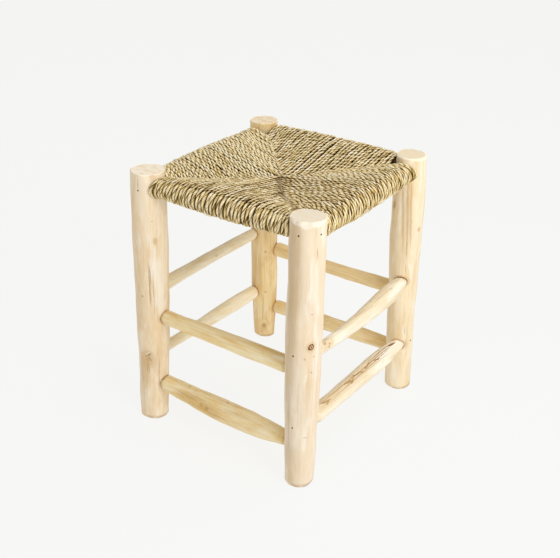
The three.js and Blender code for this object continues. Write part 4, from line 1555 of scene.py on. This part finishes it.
@dataclass
class WoundSeat:
    """The seat: a two-ply cord over and under each rail in turn, loose leaf, and the packing."""

    layout: Layout
    turns: int = 40
    cord: float = 6.7 * MM
    first_turn: float = 18.5 * MM
    crowding: float = 40 * MM
    bulge: float = 4.5 * MM
    round_corner: int = 1
    corner_round: tuple[float, float] = (8 * MM, 26 * MM)
    first_shares: tuple[float, ...] = (0.2, 0.335, 0.2, 0.2)
    drawn_up: tuple[float, float, float] = (1.3 * MM, 3.6 * MM, 60 * MM)
    rail_end: float = 10 * MM
    rail_middle: float = 15 * MM
    centre: tuple[float, float] = (4 * MM, -13 * MM)
    centre_top: float = 430.5 * MM
    bows: tuple[tuple[float, float], ...] = (
        (-10 * MM, 0.7), (-15 * MM, 1.9), (-7 * MM, 0.7), (2 * MM, 0.7))
    seam_valleys: tuple[float, ...] = (0.8 * MM, 0.8 * MM, 0.8 * MM, 2.4 * MM)
    hollow: tuple[float, float] = (5.0 * MM, 0.03)
    ply_radius: float = 1.62 * MM
    ply_reach: float = 1.36 * MM
    roll_lay: float = 37 * MM
    station: float = 1.75 * MM
    sides: int = 8

    def __post_init__(self) -> None:
        """Works out the corners and the middle of the winding."""
        self.roll_height = sum(self.layout.rail_heights) / 2
        self.corners = np.stack([self.layout.centre(leg, self.roll_height)[:2] for leg in LEGS])
        self.middle = np.array(self.centre) + self.layout.shift
        self.paths: list[list[Array]] = []

    def rail_radius(self, share: Array) -> Array:
        """A rail's radius: it swells from its ends to its middle by the 0.8 power of a sine."""
        swell = np.sin(math.pi * np.clip(share, 0, 1)) ** 0.8
        return blend(self.rail_end, self.rail_middle, swell)

    def seam(self, corner: int, share: Array) -> Array:
        """A seam in plan: straight from a corner to the middle, plus its bow, a half sine of a
        power of the share.

        Args:
            corner: The corner that it starts at.
            share: How far along it, 0 to 1.

        Returns:
            Points in plan.
        """
        flat = blend(self.corners[corner], self.middle, share[..., None])
        bow, power = self.bows[corner]
        flat[..., 1] += bow * np.sin(math.pi * share ** power)
        return flat

    def seam_height(self, corner: int, share: Array, face: int) -> Array:
        """The height of the turns' crests along a seam, above or below: it falls from the roll
        to the middle by the 0.8 power of the share, less a shallow valley.

        Args:
            corner: The corner that the seam starts at.
            share: How far along it, 0 to 1.
            face: 1 above, -1 below.

        Returns:
            The heights.
        """
        middle = self.centre_top if face > 0 else self.centre_top - 2 * self.cord
        start = self.roll_height + face * (self.rail_end + self.cord)
        valley = self.seam_valleys[corner] * np.minimum(1, share / 0.125) * (1 - share ** 3)
        return blend(start, middle, share ** 0.8) - face * valley

    def side_axes(self, side: int) -> tuple[Array, Array, float]:
        """A side's directions along and outward, and its length."""
        start, end = self.corners[side], self.corners[(side + 1) % 4]
        along = np.array(ALONG[side], float)
        return along, np.array(OUTWARD[side], float), float((end - start) @ along)

    def place_beside_legs(self, side: int, offset: float, out: Array) -> Array:
        """Where a turn lies along its rail, given how far out of the rail's axis it is. The first
        turns stand close to a leg's axis where they pass in front of the leg, and are pushed
        aside where they pass beside it, by what they lack of the leg's radius. The push fades
        with an exponential of the distance from the first turn.

        Args:
            side: The side.
            offset: The turn's own place, were there no legs.
            out: Distances outwards from the rail's axis.

        Returns:
            Places along the rail.
        """
        _, _, length = self.side_axes(side)
        place = np.full_like(out, offset)
        for end, leg in enumerate(self.layout.ends(side)):
            clear = float(self.layout.radius(leg, self.roll_height)) + 0.52 * self.cord
            away = offset if end == 0 else length - offset
            need = np.sqrt(np.maximum(clear ** 2 - np.maximum(out, 0) ** 2, 0))
            push = np.maximum(need - self.first_turn, 0) * math.exp(
                -(away - self.first_turn) / self.crowding)
            place += push if end == 0 else -push
        return place

    def turn_path(self, side: int, index: int, own: float, rng: np.random.Generator) -> Array:
        """One turn's centre line. It comes up at the upper seam, runs out to the rail, goes round
        the roll by half a turn and runs back to the lower seam. In plan it bends from its place
        on the rail to its place on the seam by a power of the way in, and the first turns of the
        round corner bend sooner. Its height goes from the seam's to the roll's by an eased step,
        and it dives at each seam by a quarter of an oval. The roll bulges outwards in front of
        each leg, by an exponential that fades from it, and its underside is flatter, most at the
        front right corner. At the round corner a turn doesn't dive: it meets the other side's
        turn in a quarter circle, whose radius follows a half sine of a power of the seam's
        share. The first ones there lie in a hollow behind the leg, which fades with an
        exponential of the share.

        Args:
            side: The side.
            index: The turn's number from the side's first corner.
            own: Its own place along the rail, were there no legs.
            rng: The source of its small differences.

        Returns:
            Points of the centre line.
        """
        panel = PANELS[side]
        along, outward, length = self.side_axes(side)
        end = 0 if index < panel.to_first else 1
        count = panel.to_first if end == 0 else self.turns - panel.to_first
        number = index if end == 0 else self.turns - 1 - index
        corner = (side + end) % 4
        first = self.first_shares[corner]
        share = first + (1 - first) * number / (count - 0.4)
        flat = self.seam(corner, np.array(share)) - self.corners[side]
        depth, aim = float(-(flat @ outward)), float(flat @ along)
        away = min(own, length - own)
        crowd = math.exp(-(away - self.first_turn) / self.crowding)
        bulge = self.bulge * math.exp(-(away - self.first_turn) / (9 * MM))
        lift = (1 if index % 2 else -1) * 0.7 * MM * crowd
        offset = float(self.place_beside_legs(side, own, np.zeros(1))[0])
        rail = self.layout.rail_heights[side % 2]
        axis_height = float(blend(self.roll_height, rail, ease(away / (30 * MM))))
        radius = float(self.rail_radius(np.array(offset / length))) + self.cord / 2
        radius += rng.normal(0, 0.22) * MM * panel.looseness
        flattened, corner_lift, spread = self.drawn_up
        nearness = (length - own if side == 0 else own) / spread
        low = radius - flattened - (corner_lift * math.exp(-nearness) if side < 2 else 0.0)
        parts = []
        for face in (1, -1):
            over = panel.over[end]
            turning = face > 0 and corner == self.round_corner
            bent = float(blend(*self.corner_round, math.sin(math.pi * share ** 1.5)))
            reach = depth - 0.293 * bent if turning else depth
            run_in = reach + 0.6 * MM if turning else max(
                depth + (1.6 if over else -3.4) * MM, 8 * MM)
            way = np.linspace(1, 0, 90)
            gone = way * run_in
            aside = 0.0 if turning else rng.normal(0, 0.5) * MM
            bend = (panel.bend if face > 0 else 1.0) * (1 - 0.75 * crowd * turning)
            place = blend(offset, aim + aside, np.minimum(gone / reach, 1.05) ** bend)
            if turning:
                late = np.clip(gone - (depth - bent), 0, 0.75 * bent)
                place = place + (2 * end - 1) * (bent - np.sqrt(bent ** 2 - late ** 2))
            seam_z = float(self.seam_height(corner, np.array(share), face)) - face * self.cord / 2
            if turning:
                seam_z -= self.hollow[0] * math.exp(-(share - first) / self.hollow[1])
            roll_z = axis_height + (radius if face > 0 else -low)
            height = blend(roll_z, seam_z, ease(gone / depth))
            height = height + lift * ease(way * 3) * ease(3 - way * 3)
            if not turning:
                height = height + face * (0.6 if over else -0.5) * MM * ease(way * 1.6 - 0.6)
            line = np.stack([place, -gone, height], -1)
            if turning:
                parts.append(line[:-1])
                continue
            step = unit(line[0] - line[1])
            thick = abs(seam_z - (self.centre_top - self.cord))
            dive = float(np.clip(thick, 2.5 * MM, 7.5 * MM))
            swing = np.linspace(1, 0, 9)[:-1] * math.pi / 2
            down = line[0] + step * (3.4 * MM) * np.sin(swing)[:, None]
            down[:, 2] = line[0][2] - face * dive * (1 - np.cos(swing))
            parts.append(np.concatenate([down, line[:-1]]))
        swing = np.linspace(math.pi / 2, -math.pi / 2, 50)
        out = (radius + bulge) * np.cos(swing)
        roll = np.stack([self.place_beside_legs(side, own, out), out,
                         axis_height + np.where(swing > 0, radius, low) * np.sin(swing)], -1)
        path = np.concatenate([parts[0], roll, parts[1][::-1]])
        base = np.array([*self.corners[side], 0.0])
        return (base + path[:, :1] * np.array([*along, 0.0])
                + path[:, 1:2] * np.array([*outward, 0.0]) + path[:, 2:] * UP)

    def even(self, path: Array, step: float) -> tuple[Array, Array]:
        """A path measured out again in even steps.

        Args:
            path: The points.
            step: The wanted step.

        Returns:
            The new points and how far along each one is.
        """
        gone = np.concatenate([[0], np.cumsum(np.linalg.norm(np.diff(path, axis=0), axis=1))])
        places = np.linspace(0, gone[-1], max(int(gone[-1] / step), 12))
        return np.stack([np.interp(places, gone, path[:, k]) for k in range(3)], -1), places

    def axes(self, path: Array, along: Array) -> tuple[Array, Array, Array]:
        """The directions at each point of a turn: on along it, sideways, and out of the seat."""
        run = unit(np.gradient(path, axis=0))
        aside = np.array([*along, 0.0])
        aside = unit(aside - (run @ aside)[:, None] * run)
        return run, aside, np.cross(run, aside)

    def wind_side(self, side: int) -> Skin:
        """Winds every turn of one side as two plies that twist round the turn's centre line, with
        a longer twist over the roll than on the panel. Each ply is an oval tube of three strands,
        whose thickness and tone change along it. Its tone rises towards its crest by a power of
        how far out it is, as a painted highlight. Painted shade darkens what lies between the
        strands and the turns, the inner side of each ply, and each turn's ends at the seams.

        Args:
            side: The side.

        Returns:
            The side's surfaces.
        """
        panel = PANELS[side]
        rng = np.random.default_rng(panel.seed)
        along, _, length = self.side_axes(side)
        offsets = np.linspace(self.first_turn, length - self.first_turn, self.turns)
        offsets[1:-1] += rng.normal(0, 0.35, self.turns - 2) * MM * panel.looseness
        for index in panel.pale:
            offsets[index] -= 0.6 * MM
            offsets[index + 1] += 1.0 * MM
        skin = Skin()
        paths = []
        ring = around(self.sides)
        thickness = 2 * (self.ply_reach + self.ply_radius)
        for index, offset in enumerate(offsets):
            path, gone = self.even(self.turn_path(side, index, offset, rng), self.station)
            _, aside, out = self.axes(path, along)
            inside = ease(np.minimum(gone, gone[-1] - gone) / (12 * MM))
            first = index in (0, self.turns - 1)
            # The first and last turns, beside the legs, wander less aside and get less painted
            # shade.
            keep, shade = (0.35, 0.3) if first else (1.0, 1.0)
            path = path + inside[:, None] * MM * panel.looseness * (
                (0.42 * keep * wander(gone, rng, 0.09))[:, None] * aside
                + (0.32 * wander(gone, rng, 0.07))[:, None] * out)
            paths.append(path)
            rolled = ease((out[:, 2] < 0.9).astype(float))
            lay = blend(panel.lay, self.roll_lay, rolled) * (
                1 + 0.16 * wander(gone, rng, 0.07, 3) + 0.09 * panel.looseness * rng.normal())
            twist = FULL_TURN * np.cumsum(np.gradient(gone) / lay) + FULL_TURN * rng.random()
            pale = rng.normal(0, 0.09) + (0.22 if index in panel.pale else 0.0)
            broad = 1 + 0.34 * rolled
            for ply in (0.0, math.pi):
                angle = twist + ply
                reach = self.ply_reach * (1 + 0.1 * wander(gone, rng, 0.04, 3))
                core = path + reach[:, None] * (
                    np.cos(angle)[:, None] * aside + np.sin(angle)[:, None] * out)
                ply_run = unit(np.gradient(core, axis=0))
                away = unit(core - path)
                away = unit(away - np.sum(away * ply_run, -1, keepdims=True) * ply_run)
                third = np.cross(ply_run, away)
                thick = self.ply_radius * (1 + 0.13 * wander(gone, rng, 0.035, 4))
                strands = np.cos(3 * ring[None] + 9 * wander(gone, rng, 0.08, 2)[:, None])
                radii = thick[:, None] * (1 + 0.07 * strands)
                rings = sweep(core, away, third, radii * 0.92, radii * 1.1 * broad[:, None], ring)
                tone = (blend(*panel.tones, rolled) + pale
                        + 0.16 * wander(gone, rng, 0.09, 4))[:, None]
                green = panel.green * (0.7 + 0.6 * rng.random()) * (1 - rolled)[:, None]
                facing = np.sum((rings - path[:, None]) * out[:, None], -1) / thickness
                # Painted highlight: the tone rises on each ply's outward crest, more where the
                # panel's shade is strong.
                crest = np.clip((facing - 0.15) / 0.35, 0, 1) ** 2.4
                tone = tone + (0.48 + 0.3 * panel.shade) * crest - 0.3
                # Painted shade on the sides of the plies that face into the gaps between turns,
                # less over the roll.
                edge = (0.02 + 0.22 * panel.shade - 0.1 * rolled * panel.shade)[:, None]
                gap_shade = np.clip((edge - facing) / 0.22, 0, 1) * (shade - 0.32 * rolled)[:, None]
                # Painted shade on the inner side of each ply.
                inner = np.clip(-np.cos(ring), 0, 1)[None] * 0.7
                # Painted shade in the creases between strands, most over the roll.
                crease_shade = np.clip(-strands, 0, 1) * (0.04 + 0.46 * rolled)[:, None]
                # All this painted shade goes into leaf_depth, with more at each turn's ends by the
                # seams.
                depth = np.clip(gap_shade + inner * (1 - gap_shade) + crease_shade
                                + 0.4 * (1 - inside)[:, None], 0, 1)
                place = np.stack([
                    radii * np.cos(ring), radii * np.sin(ring),
                    np.broadcast_to(gone[:, None], radii.shape) + 7 * rng.random()], -1)
                skin.tube(rings, leaf_place=place, leaf_tone=tone, leaf_depth=depth,
                          leaf_green=np.clip(green, 0, 1) + 0 * radii)
        self.paths.append(paths)
        return skin

    def loose_leaves(self, count: int = 150) -> Skin:
        """Narrow strips of leaf that left the cord: each lies on a turn, bent over it, and drifts
        aside along its length. Its section is a flat oval.

        Args:
            count: How many.

        Returns:
            Their surfaces.
        """
        rng = np.random.default_rng(77)
        skin = Skin()
        ring = around(6)
        for _ in range(count):
            side = int(rng.integers(0, 4))
            along, _, _ = self.side_axes(side)
            path = self.paths[side][int(rng.integers(2, self.turns - 2))]
            span = int(rng.integers(7, 17))
            start = int(rng.integers(6, max(len(path) * 0.72 - span, 8)))
            part = path[start:start + span]
            _, aside, out = self.axes(part, along)
            way = np.linspace(-1, 1, len(part))
            drift = (rng.normal(0, 1.5) + rng.normal(0, 1.6) * way) * MM
            lift = (self.cord / 2 + (0.1 + 0.4 * rng.random()) * MM
                    + rng.uniform(0, 1.2) * MM * np.abs(way) ** 4)
            core = part + drift[:, None] * aside + lift[:, None] * out
            ply_run, _, face = self.axes(core, along)
            third = np.cross(ply_run, face)
            narrow = np.clip(1.05 - np.abs(way) ** 3, 0.12, 1)
            wide = rng.uniform(0.4, 0.85) * MM * narrow
            thin = 0.22 * MM * narrow
            rings = sweep(core, face, third, thin[:, None], wide[:, None], ring)
            tone = rng.uniform(0.5, 0.85)
            place = np.stack([wide[:, None] * np.cos(ring), wide[:, None] * np.sin(ring),
                              np.broadcast_to(way[:, None] * 0.02 + 3 * rng.random(),
                                              (len(way), 6))], -1)
            skin.leaf(rings, place, tone, 0.2)
        return skin

    def seam_strips(self) -> Skin:
        """Long pale strips of leaf that lie along the upper seams, beside them by a few
        millimetres. Each section is a flat oval.

        Returns:
            Their surfaces.
        """
        rng = np.random.default_rng(79)
        skin = Skin()
        ring = around(6)
        for corner, start, end, aside, wide in (
                (2, 0.24, 0.7, -3.2, 0.6), (2, 0.34, 0.6, -5.4, 0.5),
                (0, 0.24, 0.4, -3.0, 0.6), (0, 0.3, 0.5, -4.6, 0.5)):
            share = np.linspace(start, end, 40)
            flat = self.seam(corner, share)
            flat[:, 1] += aside * MM + 1.6 * MM * wander(share, rng, 0.4, 3)
            height = (self.seam_height(corner, share, 1) + 0.7 * MM
                      + 0.4 * MM * wander(share, rng, 0.2, 3))
            core = np.concatenate([flat, height[:, None]], -1)
            run = unit(np.gradient(core, axis=0))
            side = unit(np.cross(run, UP))
            face = np.cross(side, run)
            narrow = np.clip(1.05 - np.abs(np.linspace(-1, 1, 40)) ** 4, 0.15, 1)
            rings = sweep(core, face, -side, 0.35 * MM * narrow[:, None],
                          wide * MM * narrow[:, None], ring)
            skin.leaf(rings, rings, rng.uniform(0.65, 0.85), 0.3)
        return skin

    def stray_fibres(self, count: int = 260) -> Skin:
        """Short fibres that stand out of the cord: each leaves a turn at a slant and curls.

        Args:
            count: How many.

        Returns:
            Their surfaces.
        """
        rng = np.random.default_rng(78)
        skin = Skin()
        ring = around(5)
        for _ in range(count):
            side = int(rng.integers(0, 4))
            along, _, _ = self.side_axes(side)
            path = self.paths[side][int(rng.integers(0, self.turns))]
            spot = int(rng.integers(4, len(path) - 4))
            run, aside, out = (axis[0] for axis in self.axes(path[spot:spot + 2], along))
            way = np.linspace(0, 1, 8)
            long = rng.uniform(4, 11) * MM
            slant = (run * rng.choice([-1, 1]) + 0.5 * rng.normal() * aside
                     + rng.uniform(0.1, 0.6) * out)
            curl = rng.normal() * aside - rng.uniform(0, 0.9) * out
            core = (path[spot] + out * self.cord * 0.42 + way[:, None] * long * unit(slant)
                    + (way ** 2)[:, None] * long * 0.35 * curl)
            fibre_run = unit(np.gradient(core, axis=0))
            one = unit(np.cross(fibre_run, np.array([0.2, 0.3, 0.9])))
            two = np.cross(fibre_run, one)
            thin = rng.uniform(0.12, 0.26) * MM * (1.05 - way ** 2 * 0.8)
            rings = sweep(core, one, two, thin[:, None], thin[:, None], ring)
            skin.leaf(rings, rings, rng.uniform(0.45, 0.9), 0.2)
        return skin

    def packing(self) -> Skin:
        """The leaf packed between the two layers: a thin pillow out to the rails, notched for the
        legs. How far out a point is goes from 0 in the middle to 1 at the rails' axes, and the
        pillow's half thickness grows with its 1.2 power.

        Returns:
            Its surface.
        """
        turn = around(256)
        ray = np.stack([np.cos(turn), np.sin(turn)], -1)
        limits, faces = [], []
        for side in range(4):
            along, outward, length = self.side_axes(side)
            depth = float((self.corners[side] - self.middle) @ outward)
            faces.append((outward, depth))
            toward = np.maximum(ray @ outward, 1e-3)
            place = (self.middle - self.corners[side]) @ along + (ray @ along) * depth / toward
            room = depth - self.rail_radius(place / length) - 1.5 * MM
            limits.append(np.where(toward > 1e-3, room / toward, 9.0))
        limit = np.min(limits, axis=0)
        for leg, corner in zip(LEGS, self.corners):
            off = corner - self.middle
            clear = float(self.layout.radius(leg, self.roll_height)) + 2.5 * MM
            nearest = ray @ off
            miss = clear ** 2 - (off @ off - nearest ** 2)
            entry = nearest - np.sqrt(np.maximum(miss, 0))
            limit = np.where((miss > 0) & (nearest > 0), np.minimum(limit, entry), limit)
        shares = np.concatenate([np.linspace(0.02, 0.97, 26), [0.995, 1.0]])
        rows = []
        for face, order in ((-1, shares), (1, shares[::-1])):
            for share in order:
                flat = self.middle + ray * (limit * share)[:, None]
                out = np.zeros(len(turn))
                for outward, depth in faces:
                    out = np.maximum(out, (flat - self.middle) @ outward / depth)
                half = blend(1.6 * MM, 7.5 * MM, np.clip(out, 0, 1) ** 1.2)
                half = half * math.sqrt(max(1 - share ** 24, 0.0))
                level = blend(self.centre_top - self.cord, self.roll_height, np.clip(out, 0, 1))
                rows.append(np.concatenate([flat, (level + face * half)[:, None]], -1))
        rings = np.stack(rows)
        skin = Skin()
        skin.leaf(rings, rings, 0.0, 0.0)
        return skin

    def build(self, effects: Effects) -> None:
        """Winds the four sides, and adds the packing and the loose leaf."""
        cord, loose = CORD_LEAF.dress(effects), LOOSE_LEAF.dress(effects)
        for side, panel in enumerate(PANELS):
            piece = self.wind_side(side).make(f"wound_cord_{panel.name}")
            seat_piece(piece, "seat_cord", cord, "seat_weave")
        for skin, name, finish in (
                (self.packing(), "packed_leaf", PACKED_LEAF.dress(effects)),
                (self.loose_leaves(), "loose_leaves", loose),
                (self.seam_strips(), "seam_strips", loose),
                (self.stray_fibres(), "stray_fibres", loose)):
            seat_piece(skin.make(name), "seat_cord", finish)


# The studio


@dataclass
class Studio:
    """A pale floor, soft lights and the camera."""

    layout: Layout
    azimuth: float = 34.370
    elevation: float = 27.992
    distance: float = 1.6391
    target: Triple = (-0.0704, 0.0985, 0.1758)
    roll: float = 0.854
    focal_pixels: float = 891.82
    image_width: int = 560
    sensor: float = 36.0
    floor_half: float = 14.0
    floor_glow: float = 0.86

    def place_camera(self) -> None:
        """Puts the camera at its angles and distance from the point that it looks at, and rolls
        it round its own line of sight."""
        side, up_angle = math.radians(self.azimuth), math.radians(self.elevation)
        back = Vector((math.sin(side) * math.cos(up_angle), -math.cos(side) * math.cos(up_angle),
                       math.sin(up_angle)))
        right = Vector((math.cos(side), math.sin(side), 0.0))
        up = back.cross(right)
        tilt = math.radians(self.roll)
        right_rolled = math.cos(tilt) * right + math.sin(tilt) * up
        up_rolled = -math.sin(tilt) * right + math.cos(tilt) * up
        data = bpy.data.cameras.new("camera")
        data.sensor_fit, data.sensor_width = "HORIZONTAL", self.sensor
        data.lens = self.focal_pixels / self.image_width * self.sensor
        data.clip_start, data.clip_end = 0.01, 50.0
        camera = bpy.data.objects.new("camera", data)
        bpy.context.scene.collection.objects.link(camera)
        target = Vector(self.target) + Vector((*self.layout.shift, 0.0))
        turned = Matrix((right_rolled, up_rolled, back)).transposed().to_4x4()
        camera.matrix_world = Matrix.Translation(target + back * self.distance) @ turned
        bpy.context.scene.camera = camera
        log.info("camera at %s", tuple(round(v, 4) for v in camera.matrix_world.translation))

    def lay_floor(self) -> None:
        """Lays a wide pale floor that glows a little, so that shadows on it stay faint."""
        mesh = bpy.data.meshes.new("floor")
        size = self.floor_half
        mesh.from_pydata([(-size, -size, 0), (size, -size, 0), (size, size, 0), (-size, size, 0)],
                         [], [(0, 1, 2, 3)])
        floor = bpy.data.objects.new("floor", mesh)
        bpy.context.scene.collection.objects.link(floor)
        material, _, inputs = open_material("pale floor")
        inputs["Base Color"].default_value = (0.08, 0.08, 0.079, 1.0)
        inputs["Roughness"].default_value = 1.0
        inputs["Specular IOR Level"].default_value = 0.0
        inputs["Emission Color"].default_value = (1.0, 1.0, 0.985, 1.0)
        inputs["Emission Strength"].default_value = self.floor_glow
        mesh.materials.append(material)

    def lamp(self, name: str, place: Triple, aim: Triple, power: float, size: float,
             colour: Triple) -> None:
        """Hangs one square soft light.

        Args:
            name: Its name.
            place: Where it hangs.
            aim: The point that it faces.
            power: Its power in watts.
            size: The length of its side.
            colour: Its colour.
        """
        data = bpy.data.lights.new(name, "AREA")
        data.energy, data.size, data.color = power, size, colour
        light = bpy.data.objects.new(name, data)
        bpy.context.scene.collection.objects.link(light)
        toward = Vector(aim) - Vector(place)
        light.location = place
        light.rotation_mode = "QUATERNION"
        light.rotation_quaternion = toward.to_track_quat("-Z", "Y")

    def light(self) -> None:
        """Sets the pale surroundings, the key light and the top light."""
        scene = bpy.context.scene
        scene.view_settings.view_transform = "Standard"
        world = bpy.data.worlds.new("pale surroundings")
        world.use_nodes = True
        background = world.node_tree.nodes["Background"]
        background.inputs["Color"].default_value = (0.96, 0.96, 0.955, 1.0)
        background.inputs["Strength"].default_value = 0.6
        scene.world = world
        self.lamp("key light", (1.8, -0.6, 1.35), (0.0, 0.0, 0.25), 20.0, 0.9, (1.0, 0.99, 0.965))
        self.lamp("top light", (0.5, 0.2, 2.1), (0.0, 0.0, 0.3), 9.0, 1.0, (1.0, 0.995, 0.98))


def main() -> None:
    """Builds the stool piece by piece, then the studio, and reports each."""
    logging.basicConfig(level=logging.INFO, format="%(name)s: %(message)s")
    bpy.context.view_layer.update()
    layout = Layout()
    effects = Effects()
    studio = Studio(layout)
    studio.place_camera()
    stretchers = Stretchers(layout)
    legs = Legs(layout, stretchers)
    legs.build(effects)
    stretchers.build(effects)
    Rails(layout).build(effects)
    Nails(legs).build()
    WoundSeat(layout).build(effects)
    studio.lay_floor()
    studio.light()


if __name__ == "__main__":
    main()
